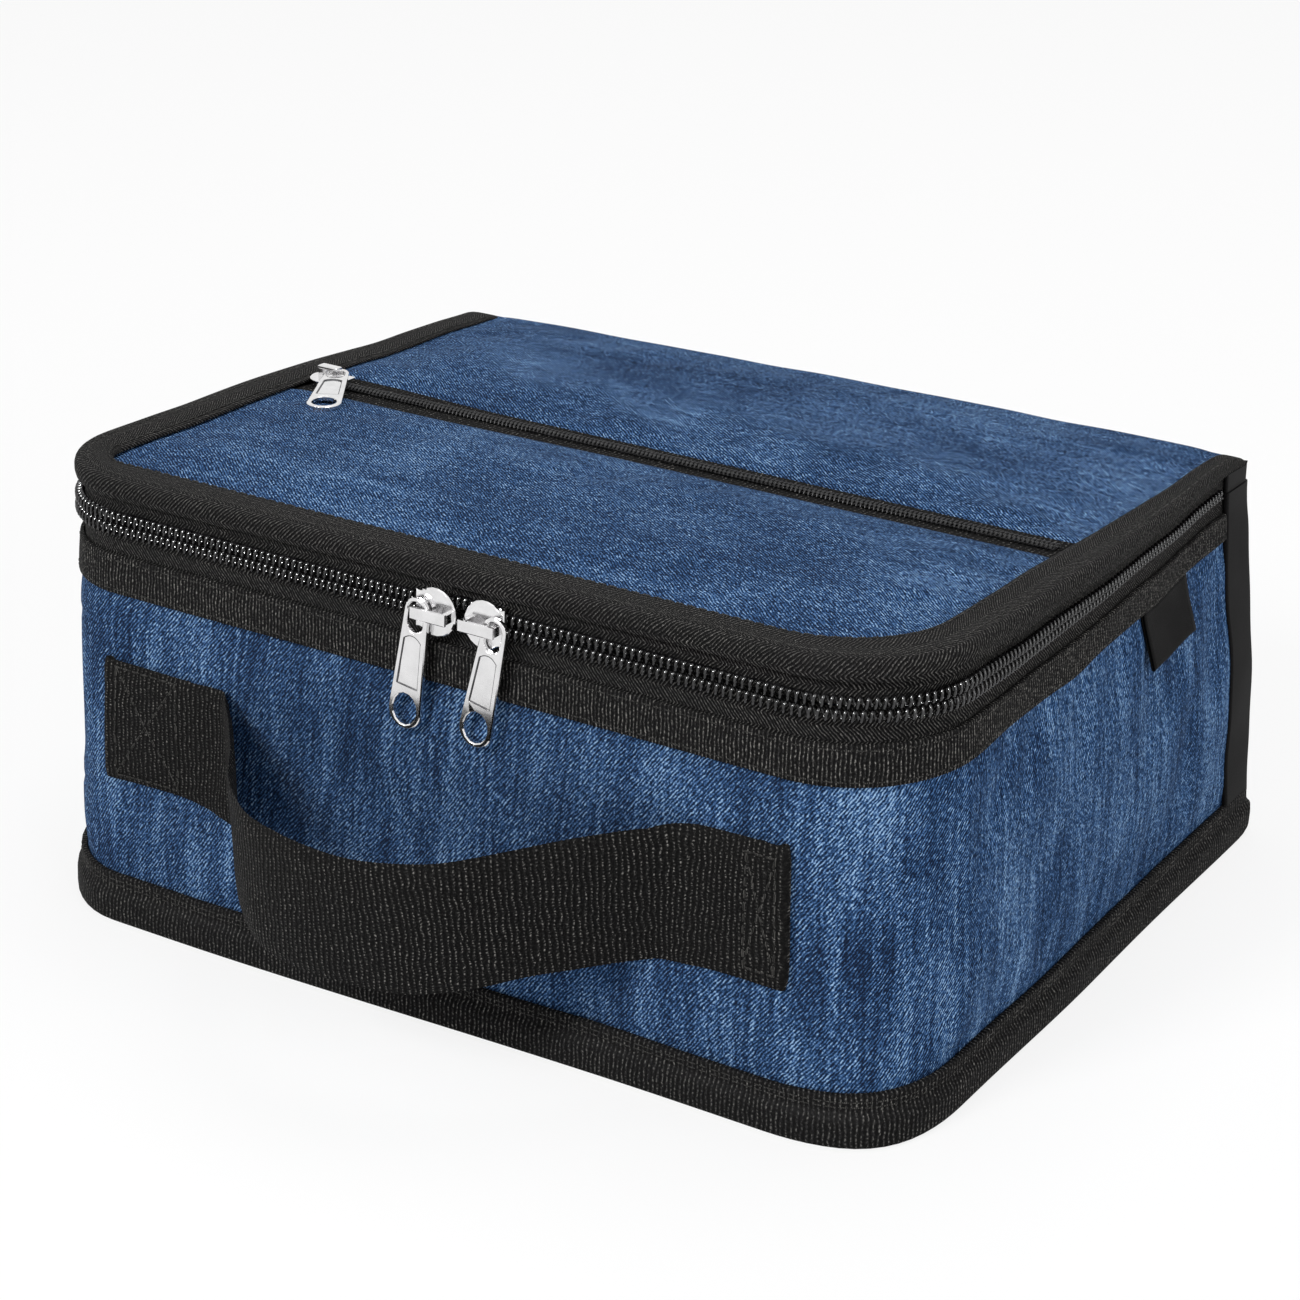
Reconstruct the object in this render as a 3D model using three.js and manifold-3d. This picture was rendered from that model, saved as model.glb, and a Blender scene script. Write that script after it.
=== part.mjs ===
// An insulated lunch bag, zipped shut and lying with its lid up.
// Millimetres, +Z up. The handle and the two zip pulls face -Y. The origin is the middle of the base.
import * as THREE from "three";
import { mergeVertices } from "three/addons/utils/BufferGeometryUtils.js";
import Module from "manifold-3d";

const wasm = await Module();
wasm.setup();
const rad = THREE.MathUtils.degToRad;

// Outside of the bag
const bagWidth = 270;
const bagDepth = 212;
const frontHeight = 125; // fabric face of the lid at the front edge
const lidFall = 11; // how much lower it is at the back edge
const cornerRadius = 33; // the right front corner; the back ones are square
const leftCornerRadius = 25; // the left front corner, which is folded tighter
const frontLean = 8; // how far the front wall leans back over its height
const sideLean = 2.7; // how far each side wall leans in
const backLean = 2.4; // how far the back wall leans out

// Layers, from the outside in
const clear = 0.3; // between pieces that touch
const fabricThickness = 0.8;
const wallFoam = 5;
const baseFoam = 5;
const lidFoam = 4.5;
const liningThickness = 0.6;
const boardThickness = 2;
const backingThickness = 0.5;

// Heights of the seams, measured down the front wall from the lid's fabric face
const lidDepth = 10.8; // down to the line where the two halves of the zip meet
const bandDrop = 9.2; // from there to the ribbed band
const bandWidth = 11;
const rimDrop = 5.2; // from the zip line to the top edge of the foam walls
const tapeOverlap = 4; // how far the lower tape reaches down behind the band
const zipLine = frontHeight - lidDepth;
const bandTop = zipLine - bandDrop;
const bandBottom = bandTop - bandWidth;
const rimHeight = zipLine - rimDrop;

// Ribbed band and bindings
const bandThickness = 1.2;
const lidBindingWidth = 11; // on the lid's top face
const lidBindingDepth = 5.8; // down the lid's side
const lidBindingThickness = 2.4; // at the side
const lidBindingTopThickness = 1.5;
const panelCornerRadius = 31; // round the fabric that shows inside the lid binding at the right
const baseBindingHeight = 13.5;
const baseRidgeHeight = 9.1; // the binding stands prouder below this height
const baseBindingProud = 3.3;
const baseBindingUpperProud = 1.5;
const cornerBindingWidth = 15; // on the side wall, at each back corner
const cornerBindingReturn = 10; // and on the back wall
const cornerBindingThickness = 1.5;
const cornerBindingRadius = 3;

// Main zip
const tapeThickness = 0.7;
const tapeRecess = 0.2; // behind the wall's face
const chainHeight = 6.8; // both halves together
const chainThickness = 2.6;
const chainBackInset = 18; // the chain stops short of the back wall
const tapeBackInset = 6;
const chainGapHalf = 1.4; // the chain stands open this far each way between the two sliders

// Pocket zip across the lid
const pocketLine = 2.5; // its distance behind the middle of the lid
const pocketGap = 10; // between the two lid panels
const pocketTapeWidth = 12; // each half
const pocketTapeInset = 8; // each end, in from the side walls
const pocketChainInset = 13;
const pocketChainHalfWidth = 2.45;
const pocketChainThickness = 1.4;
const pocketGapHalf = 0.9; // the chain stands open this far each way at the slider's post
const pocketDrop = 2.7; // from the lid fabric's back to the pocket's inner layer

// Sliders: lengths along the zip, half widths across it, and heights off the tape's face
const mainSlider = {
  noseRadius: 6.4,
  tail: 6, // from the middle of the nose's round to the tail
  waistHalf: 4.2,
  tailHalf: 5,
  plate: 1.2,
  chainHalf: chainHeight / 2,
  chainLow: clear - tapeRecess,
  chainHigh: clear - tapeRecess + chainThickness,
  tapeTop: -tapeRecess,
  tapeLow: -tapeRecess - tapeThickness,
  runningGap: 0.4,
  flange: 1.2,
  backHalf: 4.6,
  postHalf: 0.9,
  postLength: 2.6,
  postInset: 1.4,
  legHalfWidth: 1.2,
  legLength: 1.6,
  barHalfWidth: 1.5,
  barThickness: 1.3,
  tunnel: 2.7,
  legFromCentre: 4.6,
};
const pocketSliderSize = {
  ...mainSlider,
  noseRadius: 5.8,
  tail: 6.2,
  waistHalf: 4,
  tailHalf: 4.6,
  plate: 1,
  chainHalf: pocketChainHalfWidth + clear / 2,
  chainLow: 0,
  chainHigh: pocketChainThickness,
  tapeTop: -clear,
  tapeLow: -clear - tapeThickness,
  flange: 1,
  backHalf: 3.6,
  postHalf: 0.55,
  legFromCentre: 2.6,
};
const leftSliderX = 1.9;
const rightSliderX = 16.7;
const pocketSliderEdge = 0.6; // from the parked slider's nose to the lid binding
const pocketSliderX = lidBindingWidth + pocketSliderEdge + halfLength(pocketSliderSize) - bagWidth / 2;

// Zip pulls, all three alike
const pullThickness = 1.6;
const pullRingRadius = 3.5;
const pullEndRadius = 4.9;
const pullReach = 28.6; // from the middle of the ring's eye to the middle of the round end
const pullEyeHalfWidth = 2.4;
const pullEyeLength = 3.6; // between the middles of the eye's round ends
const pullHoleHalfWidth = 3.6;
const pullHoleHalfLength = 4.4;
const pullRim = 1.1; // metal left below the end hole
const pullPanelFrom = 8.4; // the sunk panel on its face, along the pull
const pullPanelTo = 21.5;
const pullPanelSide = 1.3; // from the panel to the pull's edge
const pullPanelDepth = 0.3;
const pullEdge = 0.3; // chamfer
const leftPullTilt = 8.5; // degrees off plumb, lower end towards -X
const rightPullTilt = 12;
const frontPullLean = 1.5; // degrees off plumb, lower end away from the wall
const pocketPullTurn = 30; // degrees round from straight towards the front

// Handle strap: webbing sewn down flat at both ends, standing out in a hoop between them
const strapWidth = 38;
const strapThickness = 1.6;
const strapHeight = 58.5; // middle of the strap where it is sewn
const strapDroop = 10; // degrees that the hoop hangs below level
const sewnLeftInset = 25; // from the left wall to the left sewn end
const sewnLeftLength = 31;
const sewnRightInset = 29.5; // and from the right wall to the right one
const sewnRightLength = 13.5;
const foldedThickness = 3; // the sewn ends are folded under
const hoopStand = 2; // from the wall to the middle of the strap where it leaves the sewn ends
const twistLength = 22; // the strap twists from upright to the droop over this length
// The middle stretch, which swings as one, as shares of the width between the sewn ends
const gripFrom = 0.15;
const gripTo = 0.79;
const hoopReach = 48; // how far the hoop's middle line stands out from the wall
// Middle line of the hoop: shares of the width between the sewn ends, and of the reach
const hoopPoints = [
  [0.08, 0.09],
  [0.16, 0.37],
  [0.25, 0.75],
  [0.36, 0.96],
  [0.5, 1],
  [0.63, 0.86],
  [0.75, 0.48],
  [0.86, 0.17],
  [0.93, 0.07],
];
const hoopSteps = 48;

// Side tag, folded and caught under the band on the right wall
const tagBackInset = 44; // from the back wall to its back edge
const tagLength = 32;
const tagDrop = 18;
const tagThickness = 1.2;
const tagFlare = 13; // degrees that it stands away from the wall

// Edges
const bindingRound = 0.4;
const chainRound = 0.9;
const sliderRound = 0.3;
const backEdgeRadius = 4; // where the lid's fabric turns down over the back

// Insets of the lid's inner layers from its edge
const backingInset = 1.5;
const lidInset = 3.5; // clears the back plates of the main sliders
const backInset = 6; // at the hinged edge
const sliderNoseTurn = 115; // degrees each way that a slider's round nose runs before its waist
const flangeReach = 0.35; // a slider's flanges end at this share of its half length, before the mouth

// Facets
const curveSteps = 7; // to a quarter turn or a curve
const samePoint = 1e-3;

const halfWidth = bagWidth / 2;
const halfDepth = bagDepth / 2;
const hoopLeft = sewnLeftInset + sewnLeftLength - halfWidth; // where the strap leaves its sewn ends
const hoopRight = halfWidth - sewnRightInset - sewnRightLength;
const axisX = new THREE.Vector3(1, 0, 0);
const axisY = new THREE.Vector3(0, 1, 0);
const axisZ = new THREE.Vector3(0, 0, 1);

// Materials
const fabricBlue = { color: 0x2a4f86, roughness: 0.9, metalness: 0 };
const bindingBlack = { color: 0x17161a, roughness: 0.85, metalness: 0 };
const nylonBlack = { color: 0x101012, roughness: 0.45, metalness: 0 };
const foamWhite = { color: 0xe8e8e4, roughness: 0.95, metalness: 0 };
const foilSilver = { color: 0xc4c7cb, roughness: 0.35, metalness: 0.6 };
const boardGrey = { color: 0x6d6d70, roughness: 0.8, metalness: 0 };
const meshBlack = { color: 0x1d1e22, roughness: 0.9, metalness: 0 };
const nickel = { color: 0xd9dadd, roughness: 0.18, metalness: 1 };

// Booleans, on closed geometries
function solid(geometry) {
  const bare = geometry.index ? geometry.toNonIndexed() : geometry.clone();
  bare.deleteAttribute("normal");
  bare.deleteAttribute("uv");
  const merged = mergeVertices(bare, 1e-4);
  return new wasm.Manifold(
    new wasm.Mesh({
      numProp: 3,
      vertProperties: merged.attributes.position.array,
      triVerts: new Uint32Array(merged.index.array),
    }),
  );
}

function geometryOf(body) {
  const mesh = body.getMesh();
  const geometry = new THREE.BufferGeometry();
  geometry.setAttribute("position", new THREE.BufferAttribute(mesh.vertProperties, 3));
  geometry.setIndex(new THREE.BufferAttribute(mesh.triVerts, 1));
  geometry.computeVertexNormals();
  return geometry;
}

function join(...geometries) {
  return geometryOf(geometries.map(solid).reduce((a, b) => a.add(b)));
}

function cut(geometry, ...tools) {
  return geometryOf(tools.map(solid).reduce((a, b) => a.subtract(b), solid(geometry)));
}

// Box from its low and high corners
function block(low, high) {
  const size = high.map((v, i) => v - low[i]);
  const middle = high.map((v, i) => (v + low[i]) / 2);
  return new THREE.BoxGeometry(...size).translate(...middle);
}

// The points of an outline, without those that repeat the one before
function distinct(points) {
  const before = (i) => points[(i + points.length - 1) % points.length];
  return points.filter((point, i) => point.distanceTo(before(i)) > samePoint);
}

// A plan shape made solid between two heights, its edges rounded by `round`
function slab(shape, from, to, round = 0, segments = 2) {
  const outline = shape.extractPoints(curveSteps);
  const plan = new THREE.Shape(distinct(outline.shape));
  plan.holes = outline.holes.map((hole) => new THREE.Path(distinct(hole)));
  return new THREE.ExtrudeGeometry(plan, {
    depth: to - from - 2 * round,
    bevelEnabled: round > 0,
    bevelThickness: round,
    bevelSize: round,
    bevelOffset: -round,
    bevelSegments: segments,
  }).translate(0, 0, from + round);
}

// The bag's plan, moved out by `out`, and by `backOut` at its straight back edge
function planOutline(out, backOut = out) {
  const x = halfWidth + out;
  const front = -halfDepth - out;
  const back = halfDepth + backOut;
  const left = leftCornerRadius + out;
  const right = cornerRadius + out;
  const shape = new THREE.Shape();
  shape.moveTo(x, back);
  shape.lineTo(-x, back);
  shape.absarc(-x + left, front + left, left, Math.PI, 1.5 * Math.PI);
  shape.absarc(x - right, front + right, right, 1.5 * Math.PI, 2 * Math.PI);
  shape.closePath();
  return shape;
}

// A band round the left, front and right of the bag, between two offsets, ending at y = `back`
function bandOutline(inner, outer, back, innerRight = cornerRadius + inner) {
  const shape = new THREE.Shape();
  const outerX = halfWidth + outer;
  const outerFront = -halfDepth - outer;
  const outerLeft = leftCornerRadius + outer;
  const outerRight = cornerRadius + outer;
  const innerX = halfWidth + inner;
  const innerFront = -halfDepth - inner;
  const innerLeft = leftCornerRadius + inner;
  shape.moveTo(-outerX, back);
  shape.absarc(-outerX + outerLeft, outerFront + outerLeft, outerLeft, Math.PI, 1.5 * Math.PI);
  shape.absarc(outerX - outerRight, outerFront + outerRight, outerRight, 1.5 * Math.PI, 2 * Math.PI);
  shape.lineTo(outerX, back);
  shape.lineTo(innerX, back);
  shape.absarc(innerX - innerRight, innerFront + innerRight, innerRight, 2 * Math.PI, 1.5 * Math.PI, true);
  shape.absarc(-innerX + innerLeft, innerFront + innerLeft, innerLeft, 1.5 * Math.PI, Math.PI, true);
  shape.lineTo(-innerX, back);
  shape.closePath();
  return shape;
}

function ring(outerShape, innerShape) {
  outerShape.holes.push(new THREE.Path(innerShape.getPoints(curveSteps).reverse()));
  return outerShape;
}

// The bag is cut and sewn square, and then settles: above the band the lid falls towards the back,
// the side walls lean in, and the front and back walls lean back.
function settlePoint(point) {
  const towardsBack = (point.y + halfDepth) / bagDepth;
  const fall = lidFall / (frontHeight - bandBottom);
  const height = point.z - Math.max(point.z - bandBottom, 0) * fall * towardsBack;
  const share = height / frontHeight;
  const drift = frontLean + (backLean - frontLean) * towardsBack;
  return new THREE.Vector3(point.x * (1 - (sideLean / halfWidth) * share), point.y + drift * share, height);
}

function settle(geometry) {
  const place = geometry.attributes.position;
  const point = new THREE.Vector3();
  for (let i = 0; i < place.count; i++) {
    point.fromBufferAttribute(place, i);
    place.setXYZ(i, ...settlePoint(point));
  }
  return geometry;
}

// A piece made at its final shape and place
function piece(name, geometry, look) {
  const mesh = new THREE.Mesh(geometry, new THREE.MeshStandardMaterial(look));
  mesh.name = name;
  return mesh;
}

// A piece cut square, which settles with the bag
function softPiece(name, geometry, look) {
  return piece(name, settle(geometry), look);
}

// Walls, base and back of the bag's body
function makeBody() {
  const backFace = halfDepth - fabricThickness;
  const foamOut = -fabricThickness - clear;
  const foamIn = foamOut - wallFoam;
  const liningOut = foamIn - clear;
  const liningIn = liningOut - liningThickness;
  const wallBottom = fabricThickness + clear;
  const boardTop = wallBottom + boardThickness;
  const foamBottom = boardTop + clear;
  const foamTop = foamBottom + baseFoam;
  const floor = foamTop + clear;
  const backFoamFace = halfDepth + foamIn;
  const sideBack = backFace - clear;
  const wallTop = bandTop - tapeOverlap - clear;

  const foamWalls = slab(bandOutline(foamIn, foamOut, backFoamFace - clear), floor, rimHeight);
  const walls = slab(bandOutline(-fabricThickness, 0, sideBack), wallBottom, wallTop);
  const lining = cut(
    slab(planOutline(liningOut), floor, rimHeight),
    slab(planOutline(liningIn), floor + liningThickness, rimHeight + clear),
  );
  const backFoam = block(
    [-halfWidth - foamOut, backFoamFace, floor],
    [halfWidth + foamOut, halfDepth + foamOut, rimHeight],
  );
  const backPanel = block([-halfWidth, backFace, wallBottom], [halfWidth, halfDepth, zipLine - clear]);
  return [
    softPiece("side_wall_fabric", walls, fabricBlue),
    softPiece("back_panel_fabric", backPanel, fabricBlue),
    softPiece("base_fabric", slab(planOutline(0), 0, fabricThickness), fabricBlue),
    softPiece("base_board", slab(planOutline(foamOut), wallBottom, boardTop), boardGrey),
    softPiece("base_foam", slab(planOutline(foamOut), foamBottom, foamTop), foamWhite),
    softPiece("wall_foam", foamWalls, foamWhite),
    softPiece("back_foam", backFoam, foamWhite),
    softPiece("body_lining", lining, foilSilver),
  ];
}

// Bindings and the ribbed band, which stand on the outside of the body
function makeBodyTrim() {
  const inner = planOutline(clear);
  const upper = slab(ring(planOutline(baseBindingUpperProud), inner), 0, baseBindingHeight, bindingRound, 1);
  const lower = slab(ring(planOutline(baseBindingProud), inner), 0, baseRidgeHeight, 2 * bindingRound);
  const bandBack = halfDepth - cornerBindingWidth - clear;
  const bandPlan = bandOutline(clear, clear + bandThickness, bandBack);
  const band = slab(bandPlan, bandBottom, bandTop, bindingRound, 1);
  return [
    softPiece("base_binding", join(upper, lower), bindingBlack),
    softPiece("lower_band", band, bindingBlack),
    softPiece("back_binding_left", cornerBinding(-1), bindingBlack),
    softPiece("back_binding_right", cornerBinding(1), bindingBlack),
    softPiece("side_tag", sideTag(), meshBlack),
  ];
}

// Smooth binding round a back corner, an angle section with a round outer edge.
// Side 1 is the right, -1 the left.
function cornerBinding(side) {
  const inX = halfWidth + clear;
  const inY = halfDepth + clear;
  const outX = inX + cornerBindingThickness;
  const outY = inY + cornerBindingThickness;
  const radius = cornerBindingRadius;
  const sideEdge = halfDepth - cornerBindingWidth;
  const backEdge = halfWidth - cornerBindingReturn;
  const from = side > 0 ? 0 : Math.PI;
  const shape = new THREE.Shape();
  shape.moveTo(side * inX, sideEdge);
  shape.lineTo(side * outX, sideEdge);
  shape.absarc(side * (outX - radius), outY - radius, radius, from, Math.PI / 2, side < 0);
  shape.lineTo(side * backEdge, outY);
  shape.lineTo(side * backEdge, inY);
  shape.lineTo(side * inX, inY);
  shape.closePath();
  return slab(shape, baseBindingHeight + clear, zipLine - 2 * clear);
}

// Folded tag hanging from the lower edge of the band, flaring away from the right wall
function sideTag() {
  return block([0, -tagLength, -tagDrop], [tagThickness, 0, 0])
    .applyMatrix4(new THREE.Matrix4().makeRotationY(-rad(tagFlare)))
    .translate(halfWidth + clear, halfDepth - tagBackInset, bandBottom - clear);
}

// The two halves of the main zip: each a tape and a row of coil, open between the two sliders
function makeMainZip() {
  const tapeIn = -tapeRecess - tapeThickness;
  const tapeBack = halfDepth - tapeBackInset;
  const chainOut = mainSlider.chainHigh;
  const chainBack = halfDepth - chainBackInset;
  const lip = clear / 2;
  const tapeTop = frontHeight - fabricThickness - clear;
  const chainLow = zipLine - chainHeight / 2;
  const chainHigh = zipLine + chainHeight / 2;
  const tapePlan = () => bandOutline(tapeIn, -tapeRecess, tapeBack);
  const chainPlan = () => bandOutline(mainSlider.chainLow, chainOut, chainBack);
  const opening = () =>
    block(
      [leftSliderX + postFrom(mainSlider), -halfDepth - 2 * chainThickness, zipLine - chainGapHalf],
      [rightSliderX - postFrom(mainSlider), -halfDepth + wallFoam, zipLine + chainGapHalf],
    );
  const lowerTape = cut(slab(tapePlan(), bandTop - tapeOverlap, zipLine - lip), opening());
  const upperTape = cut(slab(tapePlan(), zipLine + lip, tapeTop), opening());
  const lowerChain = cut(slab(chainPlan(), chainLow, zipLine - lip, chainRound), opening());
  const upperChain = cut(slab(chainPlan(), zipLine + lip, chainHigh, chainRound), opening());
  return {
    lower: [
      softPiece("lower_zip_tape", lowerTape, bindingBlack),
      softPiece("lower_coil", lowerChain, nylonBlack),
    ],
    upper: [
      softPiece("upper_zip_tape", upperTape, bindingBlack),
      softPiece("upper_coil", upperChain, nylonBlack),
    ],
  };
}

// Half of a slider's length along the zip
function halfLength(size) {
  return (size.noseRadius + size.tail) / 2;
}

// Where along a slider the room for its post starts
function postFrom(size) {
  return halfLength(size) - size.postInset - size.postLength - size.runningGap;
}

// The lid: two fabric panels with the pocket zip between them, the pocket, foam and lining below
function makeLid() {
  const fabricBottom = frontHeight - fabricThickness;
  const tapeTop = fabricBottom - clear;
  const tapeBottom = tapeTop - tapeThickness;
  const backingTop = fabricBottom - pocketDrop;
  const backingBottom = backingTop - backingThickness;
  const foamTop = backingBottom - clear;
  const foamBottom = foamTop - lidFoam;
  const liningTop = foamBottom - clear;
  const pocketFront = pocketLine - pocketGap / 2;
  const pocketBack = pocketLine + pocketGap / 2;
  const bindingTop = frontHeight + clear + lidBindingTopThickness;

  const sideLeg = slab(
    bandOutline(clear, clear + lidBindingThickness, halfDepth - clear),
    bindingTop - lidBindingDepth,
    bindingTop,
    bindingRound,
  );
  const topLeg = slab(
    bandOutline(-lidBindingWidth, clear + lidBindingThickness, halfDepth - clear, panelCornerRadius),
    frontHeight + clear,
    bindingTop,
    bindingRound,
  );
  const tapeEnd = halfWidth - pocketTapeInset;
  const chainEnd = halfWidth - pocketChainInset;
  const tape = (from, to) => block([-tapeEnd, from, tapeBottom], [tapeEnd, to, tapeTop]);
  const chain = (from, to) =>
    block([-chainEnd, from, fabricBottom], [chainEnd, to, fabricBottom + pocketChainThickness]);
  const lip = clear / 2;
  const opening = () =>
    block(
      [pocketSliderX - halfLength(pocketSliderSize), pocketLine - pocketGapHalf, backingTop],
      [pocketSliderX - postFrom(pocketSliderSize), pocketLine + pocketGapHalf, bindingTop],
    );
  const frontEdge = pocketLine - lip;
  const rearEdge = pocketLine + lip;
  const frontPanel = slab(planOutline(0, pocketFront - halfDepth), fabricBottom, frontHeight);
  const frontTape = cut(tape(frontEdge - pocketTapeWidth, frontEdge), opening());
  const rearTape = cut(tape(rearEdge, rearEdge + pocketTapeWidth), opening());
  const frontCoil = cut(chain(pocketLine - pocketChainHalfWidth, frontEdge), opening());
  const rearCoil = cut(chain(rearEdge, pocketLine + pocketChainHalfWidth), opening());
  const innerPlan = () => planOutline(-lidInset, -backInset);
  return [
    softPiece("lid_binding", join(sideLeg, topLeg), bindingBlack),
    softPiece("lid_front_fabric", frontPanel, fabricBlue),
    softPiece("lid_rear_fabric", rearPanel(pocketBack), fabricBlue),
    softPiece("pocket_tape_front", frontTape, bindingBlack),
    softPiece("pocket_tape_rear", rearTape, bindingBlack),
    softPiece("pocket_coil_front", frontCoil, nylonBlack),
    softPiece("pocket_coil_rear", rearCoil, nylonBlack),
    softPiece("pocket_backing", slab(planOutline(-backingInset), backingBottom, backingTop), meshBlack),
    softPiece("lid_foam", slab(innerPlan(), foamBottom, foamTop), foamWhite),
    softPiece("lid_lining", slab(innerPlan(), liningTop - liningThickness, liningTop), foilSilver),
  ];
}

// Rear lid panel: flat across the top, turned down over the back edge to the fold it hinges on
function rearPanel(from) {
  const radius = backEdgeRadius;
  const inner = radius - fabricThickness;
  const profile = new THREE.Shape();
  profile.moveTo(from, frontHeight - fabricThickness);
  profile.absarc(halfDepth - radius, frontHeight - radius, inner, Math.PI / 2, 0, true);
  profile.lineTo(halfDepth - fabricThickness, zipLine);
  profile.lineTo(halfDepth, zipLine);
  profile.absarc(halfDepth - radius, frontHeight - radius, radius, 0, Math.PI / 2);
  profile.lineTo(from, frontHeight);
  profile.closePath();
  const across = slab(profile, -halfWidth, halfWidth);
  // the profile's plane becomes the plane across the bag: its x is the bag's y, its y the bag's z
  return across.applyMatrix4(new THREE.Matrix4().makeBasis(axisY, axisZ, axisX));
}

// Plate of a slider: round shoulders at the nose, a waist, and a flared tail. The nose points to +x.
function sliderPlate(noseRadius, waistHalf, tailHalf, half) {
  const centre = half - noseRadius;
  const turn = rad(sliderNoseTurn);
  const meetX = centre + noseRadius * Math.cos(turn);
  const meetY = noseRadius * Math.sin(turn);
  const shape = new THREE.Shape();
  shape.moveTo(-half, -tailHalf);
  shape.quadraticCurveTo((meetX - half) / 2, -waistHalf, meetX, -meetY);
  shape.absarc(centre, 0, noseRadius, -turn, turn);
  shape.quadraticCurveTo((meetX - half) / 2, waistHalf, -half, tailHalf);
  shape.closePath();
  return shape;
}

// Zip slider in its own frame: x along the zip towards its nose, y across the zip, z off the tape.
// Two plates run before and behind the zip, held apart by a post in its mouth. Flanges reach down from
// the front plate outside the coil, and leave a slot for the tape. A bridge on top carries the pull.
function makeSlider(size) {
  const plateLow = size.chainHigh + size.runningGap;
  const plateHigh = plateLow + size.plate;
  const backHigh = size.tapeLow - size.runningGap;
  const backLow = backHigh - size.plate;
  const flangeIn = size.chainHalf + size.runningGap;
  const flangeOut = flangeIn + size.flange;
  const half = halfLength(size);
  const sink = size.runningGap / 2;
  const postNose = half - size.postInset;
  const barLow = plateHigh + size.tunnel;
  const legHalf = size.legLength / 2;
  const barHalf = size.legFromCentre + legHalf;

  const front = slab(
    sliderPlate(size.noseRadius, size.waistHalf, size.tailHalf, half),
    plateLow,
    plateHigh,
    sliderRound,
    1,
  );
  const narrow = size.backHalf / size.noseRadius;
  const back = slab(
    sliderPlate(size.backHalf, size.waistHalf * narrow, size.tailHalf * narrow, half),
    backLow,
    backHigh,
    sliderRound,
    1,
  );
  const post = new THREE.CylinderGeometry(size.postHalf, size.postHalf, plateLow - backHigh + 2 * sink, 8)
    .rotateX(Math.PI / 2)
    .scale(size.postLength / (2 * size.postHalf), 1, 1)
    .translate(postNose - size.postLength / 2, 0, (plateLow + backHigh) / 2);
  const flange = (side) => {
    const low = Math.min(side * flangeIn, side * flangeOut);
    return block(
      [-half + size.postInset, low, size.tapeTop + size.runningGap],
      [flangeReach * half, low + size.flange, plateLow + sink],
    );
  };
  const leg = (along) =>
    block(
      [along - legHalf, -size.legHalfWidth, plateHigh - sink],
      [along + legHalf, size.legHalfWidth, barLow + sink],
    );
  const bar = new THREE.Shape();
  bar.moveTo(-barHalf, -size.barHalfWidth);
  bar.lineTo(barHalf, -size.barHalfWidth);
  bar.lineTo(barHalf, size.barHalfWidth);
  bar.lineTo(-barHalf, size.barHalfWidth);
  bar.closePath();
  return join(
    front,
    back,
    post,
    flange(1),
    flange(-1),
    leg(-size.legFromCentre),
    leg(size.legFromCentre),
    slab(bar, barLow, barLow + size.barThickness, sliderRound, 1),
  );
}

// Height of a pull's middle plane above the foot of its slider's frame
function pullHeight(size) {
  return size.chainHigh + size.runningGap + size.plate + size.tunnel / 2;
}

// Zip pull in its own frame: its eye at the origin, reaching to -y, its face to +z
function makePull() {
  const outline = new THREE.Shape();
  outline.absarc(0, 0, pullRingRadius, Math.PI, 0, true);
  outline.absarc(0, -pullReach, pullEndRadius, 0, Math.PI, true);
  outline.closePath();
  const eye = new THREE.Path();
  eye.absarc(0, 0, pullEyeHalfWidth, 0, Math.PI);
  eye.absarc(0, -pullEyeLength, pullEyeHalfWidth, Math.PI, 2 * Math.PI);
  eye.closePath();
  const holeMiddle = -pullReach - pullEndRadius + pullRim + pullHoleHalfLength;
  const hole = new THREE.Path();
  hole.absellipse(0, holeMiddle, pullHoleHalfWidth, pullHoleHalfLength, 0, 2 * Math.PI);
  outline.holes.push(eye, hole);
  const plate = slab(outline, -pullThickness / 2, pullThickness / 2, pullEdge, 1);

  const halfAt = (reach) => pullRingRadius + (pullEndRadius - pullRingRadius) * (reach / pullReach);
  const panel = new THREE.Shape();
  const near = halfAt(pullPanelFrom) - pullPanelSide;
  const far = halfAt(pullPanelTo) - pullPanelSide;
  panel.moveTo(-near, -pullPanelFrom);
  panel.lineTo(-far, -pullPanelTo);
  panel.lineTo(far, -pullPanelTo);
  panel.lineTo(near, -pullPanelFrom);
  panel.quadraticCurveTo(0, -pullPanelFrom + 2 * pullPanelSide, -near, -pullPanelFrom);
  panel.closePath();
  return cut(plate, slab(panel, pullThickness / 2 - pullPanelDepth, pullThickness));
}

// Sliders on the front wall and on the lid, and the pulls that hang from their bridges
function makeSliders() {
  const onFront = (geometry, x) => settle(geometry.rotateX(Math.PI / 2).translate(x, -halfDepth, zipLine));
  const left = onFront(makeSlider(mainSlider), leftSliderX);
  const right = onFront(makeSlider(mainSlider).rotateZ(Math.PI), rightSliderX);
  const chainFoot = frontHeight - fabricThickness;
  const pocket = makeSlider(pocketSliderSize).rotateZ(Math.PI);
  pocket.translate(pocketSliderX, pocketLine, chainFoot);
  return [
    piece("slider_left", left, nickel),
    piece("slider_right", right, nickel),
    piece("pocket_slider", settle(pocket), nickel),
  ];
}

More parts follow.
